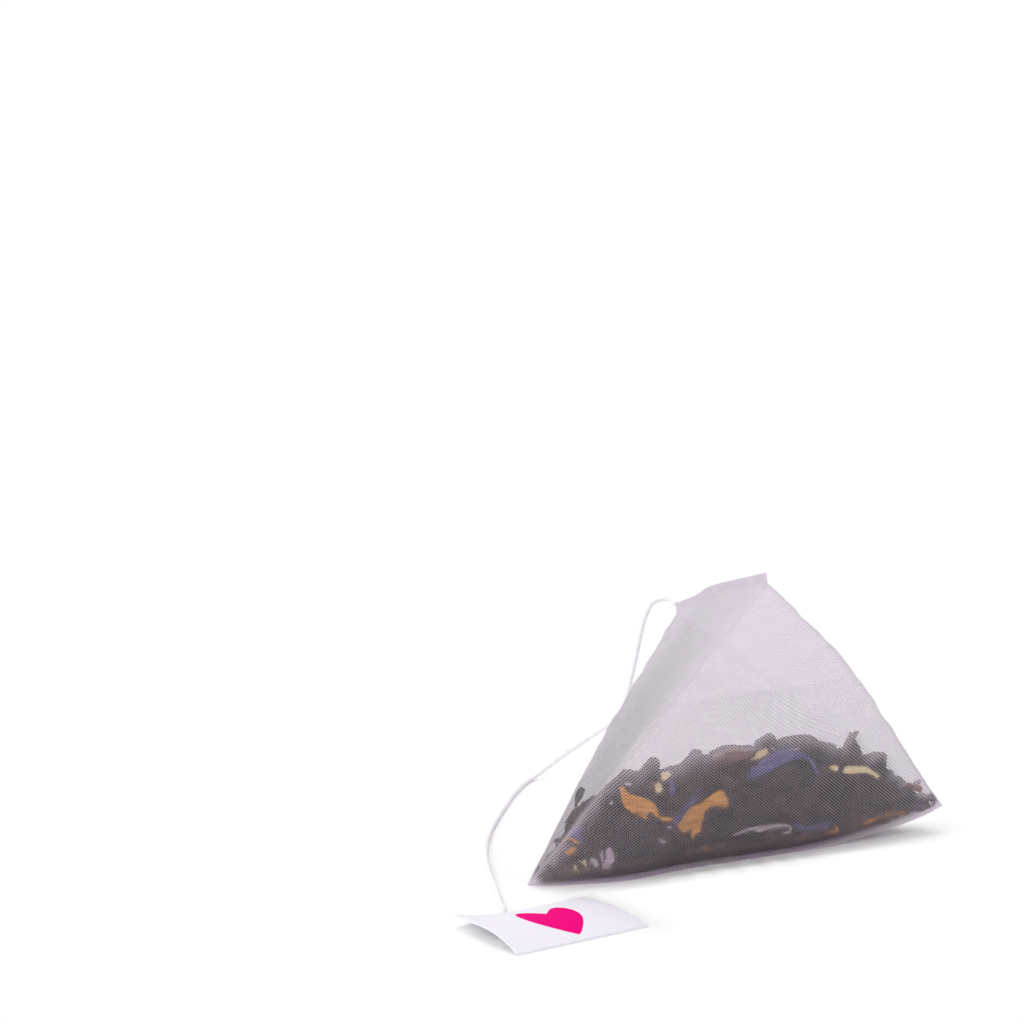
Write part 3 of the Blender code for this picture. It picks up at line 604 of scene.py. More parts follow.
def tea_core():
    """The dark heap: rings up the film to the leaf's top, then rings in to the middle of its rough top."""
    n, steps, foot = 150, 20, 0.06
    around = np.linspace(0, 2 * FLAT_WIDTH, n, endpoint=False)
    rises = np.linspace(foot, 0.75, 141)
    tops = []
    for a in around:
        line = film(a, rises, CORE_INSET)
        below = line[:, 2] < tea_level(line[:, 0], line[:, 1]) - 1.0 * MM
        below[:4] = True
        tops.append(rises[np.argmin(below) - 1] if not below.all() else rises[-1])
    tops = np.array(tops)
    tops = (tops + np.roll(tops, 1) + np.roll(tops, -1)) / 3
    rings = [film(around, foot + (tops - foot) * k / steps, CORE_INSET) for k in range(steps + 1)]
    top = rings[-1]
    centre = top.mean(axis=0)
    for share in (0.93, 0.86, 0.78, 0.7, 0.6, 0.5, 0.4, 0.3, 0.2, 0.1):
        ring = centre + (top - centre) * share
        ring[:, 2] = np.maximum(lumpy_level(ring[:, 0], ring[:, 1]) - 0.9 * MM, 1.5 * MM)
        rings.append(ring)
    points = np.concatenate(rings)
    points = points + 0.45 * MM * np.array([noise.noise_vector(Vector(p * 900)) for p in points])
    faces = ring_faces(len(rings), n)
    faces.append(tuple((len(rings) - 1) * n + i for i in range(n)))
    faces.append(tuple(reversed(range(n))))
    return piece_from("tea_core", kept_inside(points, 1.2 * MM), faces)


LEAF_RINGS = 7
LEAF_SIDES = 6


def rolled_leaves(length, width, thickness, chance):
    """Dry rolled leaves along X, as points by leaf, ring and side: oval sections that turn and bend."""
    n = len(length)
    length, width, thickness = (np.reshape(v, (n, 1, 1)) for v in (length, width, thickness))
    share = np.linspace(0, 1, LEAF_RINGS)[None, :, None]
    angle = math.tau * np.arange(LEAF_SIDES)[None, None, :] / LEAF_SIDES
    size = (0.28 + 0.72 * np.sin(math.pi * (0.07 + 0.86 * share)) ** 0.55) * chance.uniform(
        0.8, 1.15, (n, LEAF_RINGS, 1)
    )
    lean = math.tau * chance.uniform(-0.45, 0.45, (n, 1, 1)) * share
    bend = chance.uniform(-0.2, 0.2, (n, 1, 1)) * length * (1 - (2 * share - 1) ** 2)
    hook = chance.uniform(-0.1, 0.1, (n, 1, 1)) * length * (2 * share - 1) ** 2
    u = width / 2 * size * np.cos(angle) * chance.uniform(0.85, 1.12, (n, LEAF_RINGS, LEAF_SIDES))
    v = thickness / 2 * size * np.sin(angle) + 0.16 * width * np.cos(angle) ** 2
    v = v * chance.uniform(0.8, 1.2, (n, LEAF_RINGS, LEAF_SIDES))
    x = (share - 0.5) * length + 0 * u
    y = bend + u * np.cos(lean) - v * np.sin(lean)
    z = hook + u * np.sin(lean) + v * np.cos(lean)
    return np.stack([x, y, z], axis=-1)


def leaf_pile(name, shapes, places, clearance, chance, brownness=1.0):
    """One mesh of leaves. Places are their middles and the three directions that they lie along."""
    middle, along, over, out = (np.asarray(v)[:, None, None, :] for v in places)
    put = middle + shapes[..., :1] * along + shapes[..., 1:2] * over + shapes[..., 2:] * out
    points = kept_inside(put.reshape(-1, 3), clearance)
    one, count = ring_faces(LEAF_RINGS, LEAF_SIDES), LEAF_RINGS * LEAF_SIDES
    one.append(tuple(reversed(range(LEAF_SIDES))))
    one.append(tuple(count - LEAF_SIDES + m for m in range(LEAF_SIDES)))
    faces = [tuple(v + k * count for v in face) for k in range(len(shapes)) for face in one]
    made = piece_from(name, points, faces)
    tint = made.data.attributes.new("leaf_tint", "FLOAT", "POINT")
    shade = np.minimum(1.0, chance.beta(1.2, 2.4, len(shapes)) * brownness)
    tint.data.foreach_set("value", np.repeat(shade, count))
    return made


def unit_rows(v):
    return v / np.linalg.norm(v, axis=-1, keepdims=True)


def laid_on_film(a, rise, spin, tip, depth):
    """Places of leaves that lie against the film: middle, along, over and out."""
    spot, way = film(a, rise), film_normal(a, rise)
    level = unit_rows(np.cross(way, [0.0, 0.0, 1.0]) + 1e-6)
    upward = np.cross(level, way)
    along = np.cos(spin)[:, None] * level + np.sin(spin)[:, None] * upward + np.tan(tip)[:, None] * way
    along = unit_rows(along)
    over = unit_rows(np.cross(way, along))
    return spot - way * depth[:, None], along, over, np.cross(along, over)


def first(mask, count):
    return np.flatnonzero(mask)[:count]


def pressed_places(chance):
    """Places against the film, from the bottom seal up to the tea's top."""
    n = 9000
    on_front = chance.random(n) < 0.6
    a = np.where(on_front, chance.uniform(1.5, 64.5, n), chance.uniform(66, 132, n)) * MM
    rise = chance.uniform(0.035, 0.62, n)
    spot = film(a, rise)
    room = lumpy_level(spot[:, 0], spot[:, 1]) - spot[:, 2]
    keep = first((room > ROOM_ABOVE) & (spot[:, 2] > 0.0), PRESSED_LEAVES)
    m = len(keep)
    near_top = room[keep] < NEAR_TOP
    spin = chance.normal(0.0, 0.9, m) * np.where(near_top, 0.2, 1.0)
    depth = (LEAF_CLEARANCE / MM + 0.3 + chance.uniform(0.0, 1.7, m)) * MM
    return laid_on_film(a[keep], rise[keep], spin, chance.normal(0.0, 0.2, m), depth)


def crumb_places(chance):
    """Places in the narrow room above the bottom seal."""
    in_front = CRUMBS * 2 // 3
    a = np.concatenate([chance.uniform(0.8, 65.2, in_front), chance.uniform(67, 131, CRUMBS - in_front)])
    rise = 0.008 + 0.052 * chance.random(CRUMBS) ** 0.8
    n = len(a)
    depth = (CRUMB_CLEARANCE / MM + 0.12 + chance.uniform(0.0, 0.3, n)) * MM
    return laid_on_film(a * MM, rise, chance.normal(0.0, 0.5, n), chance.normal(0.0, 0.05, n), depth)


def loose_places(chance):
    """Places on the top of the tea, lying at all angles."""
    n = 9000
    x, y = chance.uniform(-31, 31, n) * MM, chance.uniform(-21, 25, n) * MM
    z = lumpy_level(x, y) + chance.uniform(-1.7, -0.2, n) * MM
    spots = np.stack([x, y, z], axis=-1)
    inside = np.array([depth_inside(p) > 0.9 * MM for p in spots]) & (z > 1.0 * MM)
    spots = spots[first(inside, LOOSE_LEAVES)]
    m = len(spots)
    spin, tip, roll = chance.uniform(0, math.tau, m), chance.normal(0, 0.25, m), chance.normal(0, 0.3, m)
    along = np.stack([np.cos(spin) * np.cos(tip), np.sin(spin) * np.cos(tip), np.sin(tip)], axis=-1)
    over = unit_rows(np.cross([0.0, 0.0, 1.0], along) + roll[:, None] * np.array([0.0, 0.0, 1.0]))
    over = unit_rows(over - (over * along).sum(axis=1, keepdims=True) * along)
    return spots, along, over, np.cross(along, over)


def dry_leaf():
    """Black tea: nearly black, browner here and there, with fine wrinkles along each leaf."""
    made, tree, shader = new_finish("dark_tea", 0.5, 0.35)
    place = tree.nodes.new("ShaderNodeTexCoord")
    tint = tree.nodes.new("ShaderNodeAttribute")
    tint.attribute_name = "leaf_tint"
    shades = tree.nodes.new("ShaderNodeValToRGB")
    ramp = shades.color_ramp
    ramp.elements[0].color = (0.020, 0.010, 0.008, 1.0)
    ramp.elements[1].color = (0.27, 0.15, 0.10, 1.0)
    dark = ramp.elements.new(0.35)
    dark.color = (0.044, 0.024, 0.017, 1.0)
    brown = ramp.elements.new(0.7)
    brown.color = (0.14, 0.070, 0.042, 1.0)
    grain = node_with(tree, "ShaderNodeTexNoise", Scale=900.0, Detail=5.0)
    mottle = tree.nodes.new("ShaderNodeMix")
    mottle.data_type = "RGBA"
    mottle.blend_type = "MULTIPLY"
    mottle.inputs["Factor"].default_value = 0.6
    wrinkles = node_with(tree, "ShaderNodeTexVoronoi", Scale=1500.0)
    rough = node_with(tree, "ShaderNodeMapRange", To_Min=0.45, To_Max=0.85)
    bump = node_with(tree, "ShaderNodeBump", Strength=0.7, Distance=0.12 * MM)
    wired(
        tree,
        [
            (place, "Object", grain, "Vector"),
            (place, "Object", wrinkles, "Vector"),
            (tint, "Fac", shades, "Fac"),
            (shades, "Color", mottle, "A"),
            (grain, "Color", mottle, "B"),
            (mottle, "Result", shader, "Base Color"),
            (grain, "Fac", rough, "Value"),
            (rough, "Result", shader, "Roughness"),
            (wrinkles, "Distance", bump, "Height"),
            (bump, 0, shader, "Normal"),
        ],
    )
    return made


tea_chance = np.random.default_rng(21)
tea_finish = dry_leaf()
core = tea_core()


def leaf_sizes(count, length, width, thickness):
    """Sizes for count leaves, each between its two millimetre values."""
    return [tea_chance.uniform(*span, count) * MM for span in (length, width, thickness)]


places = pressed_places(tea_chance)
shapes = rolled_leaves(*leaf_sizes(len(places[0]), (2.2, 5.6), (0.9, 2.2), (0.45, 1.1)), tea_chance)
pressed = leaf_pile("pressed_tea", shapes, places, LEAF_CLEARANCE, tea_chance)
places = loose_places(tea_chance)
shapes = rolled_leaves(*leaf_sizes(len(places[0]), (2.2, 5.6), (0.9, 2.0), (0.5, 1.2)), tea_chance)
loose = leaf_pile("loose_tea", shapes, places, LEAF_CLEARANCE, tea_chance)
places = crumb_places(tea_chance)
shapes = rolled_leaves(*leaf_sizes(len(places[0]), (0.9, 2.6), (0.5, 1.1), (0.1, 0.3)), tea_chance)
crumbs = leaf_pile("tea_crumbs", shapes, places, CRUMB_CLEARANCE, tea_chance, 2.2)
stand = np.array(STANDING_LEAVES)
rise = np.interp(stand[:, 1] * MM, UP_LENGTHS, UP_STEPS)
zero = np.zeros(len(stand))
places = laid_on_film(stand[:, 0] * MM, rise, np.radians(stand[:, 2]), zero, zero + 0.9 * MM)
shapes = rolled_leaves(*(stand[:, 3:].T * MM), tea_chance)
standing = leaf_pile("standing_leaves", shapes, places, CRUMB_CLEARANCE + 0.1 * MM, tea_chance, 1.2)
for piece in (core, pressed, loose, crumbs, standing):
    piece.data.materials.append(tea_finish)
    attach(piece, "root")
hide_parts("tea_leaf_heap")
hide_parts(*[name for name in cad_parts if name.startswith("twisted_leaf")])


# Petals and flakes. Dried marigold and cornflower petals and bits of leaf, thin and a little crumpled,
# pressed flat against the inside of the film.
# An outline's points are millimetres from its middle, along the film and up it.

PETAL_THICKNESS = 0.10 * MM
PETAL_CLEARANCE = 0.10 * MM
MESH_STEP = 0.42 * MM
RAGGED = 0.10 * MM  # how far the torn rims stray

LEFT_ORANGE = [
    (-2.9, 3.5), (-2.6, 3.6), (-2.2, 2.9), (-1.7, 2.3), (-0.9, 2.1), (0.1, 1.7), (0.9, 1.1), (1.4, 0.3),
    (1.7, -0.8), (2.0, -1.6), (3.0, -1.7), (3.8, -2.1), (3.4, -2.6), (2.3, -2.2), (1.5, -1.6), (1.0, -1.0),
    (0.6, -0.5), (0.1, -1.0), (0.2, -1.8), (-0.4, -1.5), (-1.1, -1.0), (-1.8, -0.5), (-2.4, 0.1), (-2.8, 0.9),
    (-2.9, 1.9),
]
FORKED_ORANGE = [
    (-3.8, -1.4), (-3.3, -0.2), (-2.7, 1.1), (-1.9, 2.1), (-0.9, 2.4), (0.1, 3.1), (1.3, 3.9), (2.1, 4.4),
    (2.8, 4.0), (3.0, 3.4), (3.6, 2.4), (3.5, 1.5), (3.1, 0.9), (2.8, 1.3), (2.0, 1.6), (1.1, 1.7),
    (0.4, 1.2), (0.0, 0.4), (0.1, -0.5), (-0.1, -1.4), (0.0, -2.7), (-0.2, -3.6), (-0.8, -3.7), (-0.7, -4.8),
    (-1.2, -4.4), (-1.4, -3.3), (-1.4, -2.2), (-1.9, -2.4), (-2.5, -2.8), (-3.2, -2.3),
]
BLUE_SLIVER = [
    (1.8, 3.2), (1.2, 2.4), (0.6, 1.8), (0.2, 1.0), (-0.6, -0.1), (-1.1, -1.1), (-1.9, -1.9), (-1.8, -3.0),
    (-1.1, -3.0), (-0.5, -1.8), (0.2, -0.5), (0.9, 0.4), (1.2, 1.1), (1.5, 2.1),
]
LONG_BLUE = [
    (-5.8, -1.2), (-5.4, -0.5), (-5.5, 0.1), (-4.6, 0.6), (-3.8, 1.2), (-2.7, 1.9), (-1.6, 2.4), (-0.1, 2.5),
    (1.3, 2.2), (2.5, 1.4), (3.6, 0.7), (4.4, -0.3), (5.0, -1.7), (5.9, -3.0), (5.6, -3.2), (4.7, -1.9),
    (4.0, -0.5), (3.2, 0.4), (2.2, 0.7), (0.9, 0.6), (-0.4, 0.3), (-1.7, -0.2), (-2.6, -0.8), (-3.7, -1.1),
    (-4.9, -1.3),
]
BLUE_EDGE = [
    (-1.0, 0.1), (-0.8, 0.2), (0.9, -0.1), (1.0, -0.3), (0.0, -0.1),
]
YELLOW_STRIP = [
    (-3.4, 1.5), (-3.2, 2.0), (-1.5, 1.5), (0.7, 0.6), (2.3, -0.8), (3.7, -2.1), (3.4, -2.5), (2.0, -1.2),
    (0.7, -0.4), (-1.3, 0.2), (-3.4, 1.0),
]
YELLOW_END = [
    (-0.9, 0.5), (0.2, 0.5), (0.7, -0.2), (0.5, -0.6), (-0.5, 0.0),
]
BROWN_FLAKE = [
    (-2.9, 0.3), (-1.8, 0.6), (-0.5, 1.1), (0.3, 1.1), (1.9, 0.8), (3.4, 0.4), (2.5, -0.7), (1.1, -1.0),
    (-0.5, -1.0), (-1.1, -1.0), (-2.7, -0.9),
]
TAN_FLAKE = [
    (-0.9, 0.2), (-0.1, 0.6), (1.7, 0.7), (2.1, 0.3), (0.7, -0.2), (-0.4, -0.7), (-1.8, -0.8), (-1.0, -0.3),
]
CURLED = [
    (-6.7, 0.1), (-4.7, 1.2), (-2.5, 1.2), (-0.5, 1.3), (1.5, 1.0), (2.4, 0.4), (3.2, -0.8), (2.7, -1.5),
    (1.6, -1.5), (1.5, -1.0), (2.4, -0.9), (2.7, -0.5), (2.1, 0.2), (0.6, 0.5), (-0.8, 0.4), (-2.4, 0.0),
    (-3.9, 0.7),
]
FAINT_BLUE = [
    (-3.5, 1.5), (-2.3, 1.0), (-0.6, 0.1), (0.6, 0.2), (1.9, 0.2), (3.5, -0.4), (2.9, -0.9), (1.5, -1.0),
    (0.0, -0.8), (-1.5, -0.6), (-2.5, 0.4),
]
ORANGE_CHIP = [
    (-0.8, -0.3), (-0.5, 0.5), (0.1, 0.9), (0.8, 0.2), (0.6, -0.6), (-0.1, -0.7),
]
LOW_ORANGE = [
    (-3.6, 0.1), (-2.2, 0.7), (-0.5, 0.7), (1.2, 0.6), (2.9, 0.1), (4.0, -0.5), (2.8, -0.4), (1.1, -0.1),
    (-0.5, -0.1), (-2.2, -0.3), (-3.2, -0.4),
]
BROWN_ARC = [
    (-1.3, 0.1), (-0.7, 0.5), (0.2, 0.5), (0.7, 0.0), (0.9, -0.6), (0.5, -0.4), (-0.1, 0.1), (-0.6, 0.0),
]
LEFT_BLUE = [
    (-1.7, 0.1), (-0.7, 0.8), (0.6, 1.5), (1.0, 1.2), (0.6, 0.7), (0.4, 0.0), (0.6, -0.8), (0.5, -1.8),
    (0.1, -1.2), (0.0, -0.6), (-0.6, -0.2), (-1.3, -0.2),
]
LEFT_CHIP = [
    (-0.8, -0.2), (-0.3, 0.4), (0.2, 0.8), (0.7, 0.6), (0.7, 0.2), (0.3, -0.1), (-0.1, -0.6), (-0.6, -0.7),
]
YELLOW_CHIP = [
    (-0.4, 0.6), (0.0, 0.9), (0.2, 0.0), (0.6, -0.7), (0.1, -0.7), (-0.2, -0.2),
]
YELLOW_THREAD = [
    (-0.9, 0.9), (-0.3, 0.7), (0.1, 1.0), (0.2, 0.3), (0.4, -0.6), (0.9, -1.4), (0.4, -1.2), (0.0, -0.3),
    (-0.4, 0.3),
]
FROND = [
    (-0.9, 1.3), (-0.6, 1.8), (-0.4, 1.1), (-0.4, -0.6), (-0.1, 0.0), (-0.1, 1.0), (-0.1, 2.0), (0.5, 2.4),
    (0.8, 1.5), (1.1, 0.4), (1.0, -0.6), (0.6, -1.3), (0.4, -2.4), (0.2, -2.6), (0.0, -1.8), (-0.5, -1.9),
    (-0.6, -0.7), (-0.8, 0.3),
]
FROND_LEFT = [
    (-0.6, 0.5), (-0.1, 1.0), (0.6, 0.2), (0.4, -0.9), (-0.2, -1.0),
]
# The two glints are painted highlights: pale chips put where light shows through gaps in the tea.
GLINT = [
    (-0.5, -0.1), (0.0, 0.3), (0.5, 0.0), (0.1, -0.3),
]
GLINT_LOW = [
    (-0.3, -0.4), (-0.2, 0.1), (0.3, 0.4), (0.2, 0.0),
]
OCHRE = [
    (-0.4, 0.6), (0.2, 0.8), (0.5, 0.1), (0.2, -0.7), (-0.3, -0.7),
]
OCHRE_TOP = [
    (-0.6, 0.5), (0.4, 0.6), (0.7, 0.2), (0.0, -0.5), (-0.5, -0.8),
]
PURPLE = [
    (-0.2, 1.2), (0.3, 0.9), (0.4, -0.5), (0.1, -1.3), (-0.3, -0.8), (-0.4, 0.4),
]
PALE_FLECK = [
    (-0.6, 0.3), (0.3, 0.0), (0.5, -0.4), (-0.2, -0.1),
]
PALE_FLECK_LOW = [
    (-0.8, 0.5), (0.2, 0.1), (0.6, -0.5), (-0.2, -0.2),
]
ORANGE_LOW_LEFT = [
    (-0.8, -0.2), (-0.1, 0.9), (0.9, 0.7), (0.7, -0.4), (-0.5, -0.8),
]
BLUE_RIGHT = [
    (-1.4, 0.3), (-0.7, 0.4), (0.1, 0.5), (0.9, 0.3), (1.5, -0.6), (0.7, -0.5), (-0.2, -0.5), (-1.1, -0.2),
]
STUB = [
    (-2.1, 1.0), (-1.7, 1.6), (-0.3, 0.9), (1.3, -0.2), (1.6, -1.0), (1.4, -1.5), (0.3, -0.7), (-0.7, -0.1),
]
LEAF_FAR_LEFT = [
    (-2.4, -3.5), (-1.6, -1.9), (-1.2, 0.1), (-0.7, 1.4), (0.5, 2.9), (1.5, 4.0), (2.9, 3.0), (2.3, -0.3),
    (0.2, -2.6), (-1.2, -3.3),
]
LEAF_A = [
    (-2.5, -2.1), (-1.9, -0.3), (-1.1, 0.4), (-0.6, 1.3), (-0.1, 1.9), (0.3, 1.6), (0.9, 1.6), (1.5, 1.3),
    (2.1, 1.0), (2.2, -0.5), (0.5, -2.9), (-1.7, -3.7),
]
LEAF_B = [
    (-1.6, -1.3), (-1.3, -0.2), (-0.7, 0.8), (-0.1, 1.4), (0.3, 1.6), (0.8, 1.3), (1.0, 0.8), (1.0, 0.1),
    (0.8, -0.3), (0.7, -1.8), (-0.7, -2.7),
]
LEAF_C = [
    (-3.9, -1.4), (-3.4, -0.4), (-2.4, -0.6), (-1.8, -0.1), (-1.1, 0.2), (-0.2, 0.9), (0.7, 1.8), (1.3, 2.3),
    (1.8, 2.3), (2.5, 2.1), (2.9, 1.3), (3.6, 1.2), (4.1, -0.8), (1.8, -3.0), (-1.8, -3.2), (-3.6, -2.6),
]
LEAF_D = [
    (-3.4, 0.0), (-2.5, 0.1), (-2.3, 0.7), (-1.3, 0.9), (-0.6, 1.3), (0.6, 1.4), (0.8, 1.4), (2.6, 1.0),
    (4.0, 0.8), (3.4, -1.6), (0.2, -2.6), (-1.2, -3.2),
]
LEAF_E = [
    (-2.0, -0.7), (-1.5, -0.2), (-1.3, 0.6), (-0.1, 1.0), (0.8, 1.5), (1.6, 0.8), (1.9, 0.1), (1.4, -1.5),
    (-0.5, -2.0),
]
LEAF_F = [
    (-5.0, 0.9), (-4.8, 2.2), (-3.7, 2.6), (-2.1, 2.6), (-0.4, 2.3), (0.8, 1.7), (2.2, 0.6), (3.5, -0.1),
    (4.4, -0.6), (4.9, -1.6), (4.7, -3.7), (1.9, -4.1), (-1.8, -2.5), (-4.3, -0.9),
]
LEAF_G = [
    (-4.7, 1.6), (-4.1, 3.2), (-3.4, 3.2), (-2.2, 2.5), (-1.0, 1.7), (0.5, 0.6), (1.8, 0.0), (3.3, -0.9),
    (5.6, -3.5), (5.4, -5.7), (-1.0, -2.4),
]
SPIKE_A = [
    (-0.2, -2.0), (-0.8, -0.1), (-1.2, 1.5), (-1.2, 2.3), (-1.0, 2.5), (-0.6, 1.9), (-0.1, 1.1), (0.9, -0.4),
    (1.5, -1.6), (1.9, -2.6), (0.9, -2.8),
]
SPIKE_B = [
    (-1.9, 0.4), (-1.8, 1.0), (-1.3, 1.4), (-0.6, 1.4), (0.0, 0.7), (0.6, 0.4), (0.9, 0.3), (1.4, -1.1),
    (2.0, -2.6), (0.3, -2.3),
]
LEAF_H = [
    (-2.7, 3.3), (-1.9, 2.5), (-0.5, 1.6), (0.2, 0.6), (1.7, -0.7), (2.7, -2.1), (2.9, -3.8), (-0.1, -2.5),
    (-2.3, 0.8),
]
TIP_LEAF = [
    (-2.5, 1.2), (-2.0, 1.7), (-0.5, 1.1), (0.9, 0.2), (1.8, -0.4), (2.2, -1.5), (0.9, -1.3), (-0.8, -0.8),
]

PETAL_COLOURS = {  # darker and lighter streaks
    "orange_petal": ((0.36, 0.13, 0.008), (0.92, 0.46, 0.06)),
    "yellow_petal": ((0.74, 0.58, 0.28), (0.98, 0.88, 0.56)),
    "blue_petal": ((0.040, 0.030, 0.14), (0.23, 0.19, 0.40)),
    "brown_leaf": ((0.10, 0.050, 0.035), (0.34, 0.21, 0.16)),
    "pale_petal": ((0.26, 0.20, 0.22), (0.80, 0.70, 0.78)),
}


def smooth_outline(corners, step):
    """A closed outline through the corners, rounded and a little torn, with points about step apart."""
    knots = np.array(corners) * MM
    n = len(knots)
    points = []
    for k in range(n):
        a, b, c, d = knots[k - 1], knots[k], knots[(k + 1) % n], knots[(k + 2) % n]
        count = max(1, round(float(np.linalg.norm(c - b)) / step))
        for m in range(count):
            t = m / count
            at = 2 * b + (c - a) * t + (2 * a - 5 * b + 4 * c - d) * t**2
            at = 0.5 * (at + (3 * b - a - 3 * c + d) * t**3)
            ragged = noise.noise_vector(Vector((at[0] * 2600, at[1] * 2600, 0.5)))
            points.append(at + RAGGED * np.array(ragged[:2]))
    return points


def petal_sheet(corners):
    """A fine flat mesh inside an outline, as points and triangles."""
    rim = np.array(smooth_outline(corners, MESH_STEP)) / MM
    step = MESH_STEP / MM
    low, high = rim.min(axis=0), rim.max(axis=0)
    x, y = np.meshgrid(np.arange(low[0], high[0], step), np.arange(low[1], high[1], step))
    grid = np.stack([x.ravel(), y.ravel()], axis=-1)
    inner = [p.tolist() for p in grid if np.hypot(*(rim - p).T).min() > 0.6 * step]
    spots = [Vector(p) for p in rim.tolist() + inner]
    edges = [(k, (k + 1) % len(rim)) for k in range(len(rim))]
    places, _, faces, _, _, _ = delaunay_2d_cdt(spots, edges, [], 1, 1e-5)
    points = np.array([(p[0], p[1], 0.0) for p in places]) * MM
    return points, [tuple(f) for f in faces]


def closed_faces(faces, n):
    """Faces of a closed sheet whose two layers hold n points each."""
    edges = {(a, b) for f in faces for a, b in zip(f, f[1:] + f[:1])}
    rim = [(a, b, b + n, a + n) for a, b in edges if (b, a) not in edges]
    return [tuple(reversed(f)) for f in faces] + [tuple(v + n for v in f) for f in faces] + rim


def dry_petal(name, dark, light):
    """A dried petal: darker and lighter streaks along it, with raised veins."""
    made, tree, shader = new_finish(name, 0.7, 0.25)
    flat = tree.nodes.new("ShaderNodeUVMap")
    flat.uv_map = "petal_lengths"
    stretch = node_with(tree, "ShaderNodeMapping", Scale=(60.0, 420.0, 1.0))
    streaks = node_with(tree, "ShaderNodeTexNoise", Scale=5.0, Detail=5.0)
    shades = ramp_between(tree, 0.38, dark, 0.62, light)
    bump = node_with(tree, "ShaderNodeBump", Strength=0.6, Distance=0.08 * MM)
    wired(
        tree,
        [
            (flat, "UV", stretch, "Vector"),
            (stretch, 0, streaks, "Vector"),
            (streaks, "Fac", shades, "Fac"),
            (shades, "Color", shader, "Base Color"),
            (streaks, "Fac", bump, "Height"),
            (bump, 0, shader, "Normal"),
        ],
    )
    return made


def press_petal(name, corners, across, up, slot, node=None, depth=0.0):
    """Lays a petal against the inside of the front face, at millimetres across and up the film."""
    flat, faces = petal_sheet(corners)
    x, y = flat[:, 0], flat[:, 1]
    a = across * MM + x
    rise = np.interp(up * MM + y, UP_LENGTHS, UP_STEPS)
    place, way = film(a, rise), film_normal(a, rise)
    ruffle = np.array([noise.noise(Vector((u * 700, v * 700, across))) for u, v in zip(x, y)])
    under = (PETAL_CLEARANCE + depth * MM + 0.10 * MM * (1 + ruffle))[:, None]
    points = np.concatenate([place - way * (under + PETAL_THICKNESS), place - way * under])
    made = piece_from(name, points, closed_faces(faces, len(flat)))
    lengths = made.data.uv_layers.new(name="petal_lengths")
    double = np.concatenate([flat[:, :2], flat[:, :2]])
    corners_of = [v for p in made.data.polygons for v in p.vertices]
    lengths.data.foreach_set("uv", double[corners_of].ravel())
    made.data.materials.append(finishes[slot])
    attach(made, "root")
    if node:
        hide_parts(node)


finishes = {name: dry_petal(name, *colours) for name, colours in PETAL_COLOURS.items()}
finishes["dark_tea"] = tea_finish

press_petal("petal_orange_left", LEFT_ORANGE, 15.8, 13.3, "orange_petal", "orange_petal_left")
press_petal("petal_orange_forked", FORKED_ORANGE, 24.3, 10.9, "orange_petal", "orange_petal_forked")
press_petal("petal_blue_sliver", BLUE_SLIVER, 21.8, 12.8, "blue_petal", "blue_petal_sliver", 0.25)
press_petal("petal_blue_long", LONG_BLUE, 36.1, 18.1, "blue_petal", "blue_petal_long")
press_petal("petal_blue_edge", BLUE_EDGE, 37.2, 20.4, "pale_petal", None, 0.1)
press_petal("petal_yellow_strip", YELLOW_STRIP, 49.2, 13.3, "yellow_petal", "yellow_petal_right")
press_petal("petal_yellow_end", YELLOW_END, 44.2, 15.6, "yellow_petal")
press_petal("flake_brown", BROWN_FLAKE, 28.3, 20.7, "brown_leaf", "brown_leaf_flake", 0.2)
press_petal("flake_tan", TAN_FLAKE, 32.7, 20.3, "yellow_petal", "tan_leaf_flake", 0.3)
press_petal("strand_pale_curled", CURLED, 36.3, 5.7, "pale_petal", "pale_curled_strand")
press_petal("petal_blue_faint", FAINT_BLUE, 42.9, 4.5, "blue_petal", "blue_petal_low", 0.2)
press_petal("petal_orange_low_right", LOW_ORANGE, 55.6, 1.9, "orange_petal", "orange_petal_low_right")
press_petal("chip_orange_low", ORANGE_CHIP, 47.0, 2.2, "orange_petal", "orange_speck_low")
press_petal("frond_pale", FROND, 10.6, 4.2, "pale_petal", "pale_petal_clump")
press_petal("frond_pale_left", FROND_LEFT, 8.9, 3.6, "pale_petal")
press_petal("chip_yellow_left", YELLOW_CHIP, 6.5, 2.7, "yellow_petal", "yellow_speck_left")
press_petal("thread_yellow_left", YELLOW_THREAD, 7.7, 3.5, "yellow_petal")
press_petal("petal_blue_left", LEFT_BLUE, 7.0, 8.9, "blue_petal", "purple_speck_left", 0.1)
press_petal("chip_ochre_upper", OCHRE, 17.6, 16.5, "yellow_petal", "ochre_fleck_upper", 0.1)
# Painted highlights: two pale chips where light shows through gaps in the tea.
press_petal("glint_pale_left", GLINT, 14.0, 17.3, "pale_petal", "pale_glint_left")
press_petal("stub_brown", STUB, 60.1, 6.0, "brown_leaf", "brown_leaf_stub")
press_petal("arc_orange_left", BROWN_ARC, 6.2, 8.0, "orange_petal")
press_petal("chip_orange_left", LEFT_CHIP, 6.0, 6.1, "orange_petal")
press_petal("chip_purple_upper", PURPLE, 19.3, 16.6, "blue_petal")
press_petal("chip_ochre_top", OCHRE_TOP, 18.7, 18.4, "yellow_petal", None, 0.1)
press_petal("painted_glint_low", GLINT_LOW, 11.7, 14.4, "pale_petal")
press_petal("chip_pale_middle", PALE_FLECK, 19.1, 9.7, "pale_petal")
press_petal("chip_pale_low", PALE_FLECK_LOW, 18.4, 7.0, "pale_petal")
press_petal("chip_orange_middle", ORANGE_LOW_LEFT, 25.5, 2.8, "orange_petal", None, 0.2)
press_petal("chip_blue_right", BLUE_RIGHT, 61.4, 1.7, "blue_petal")

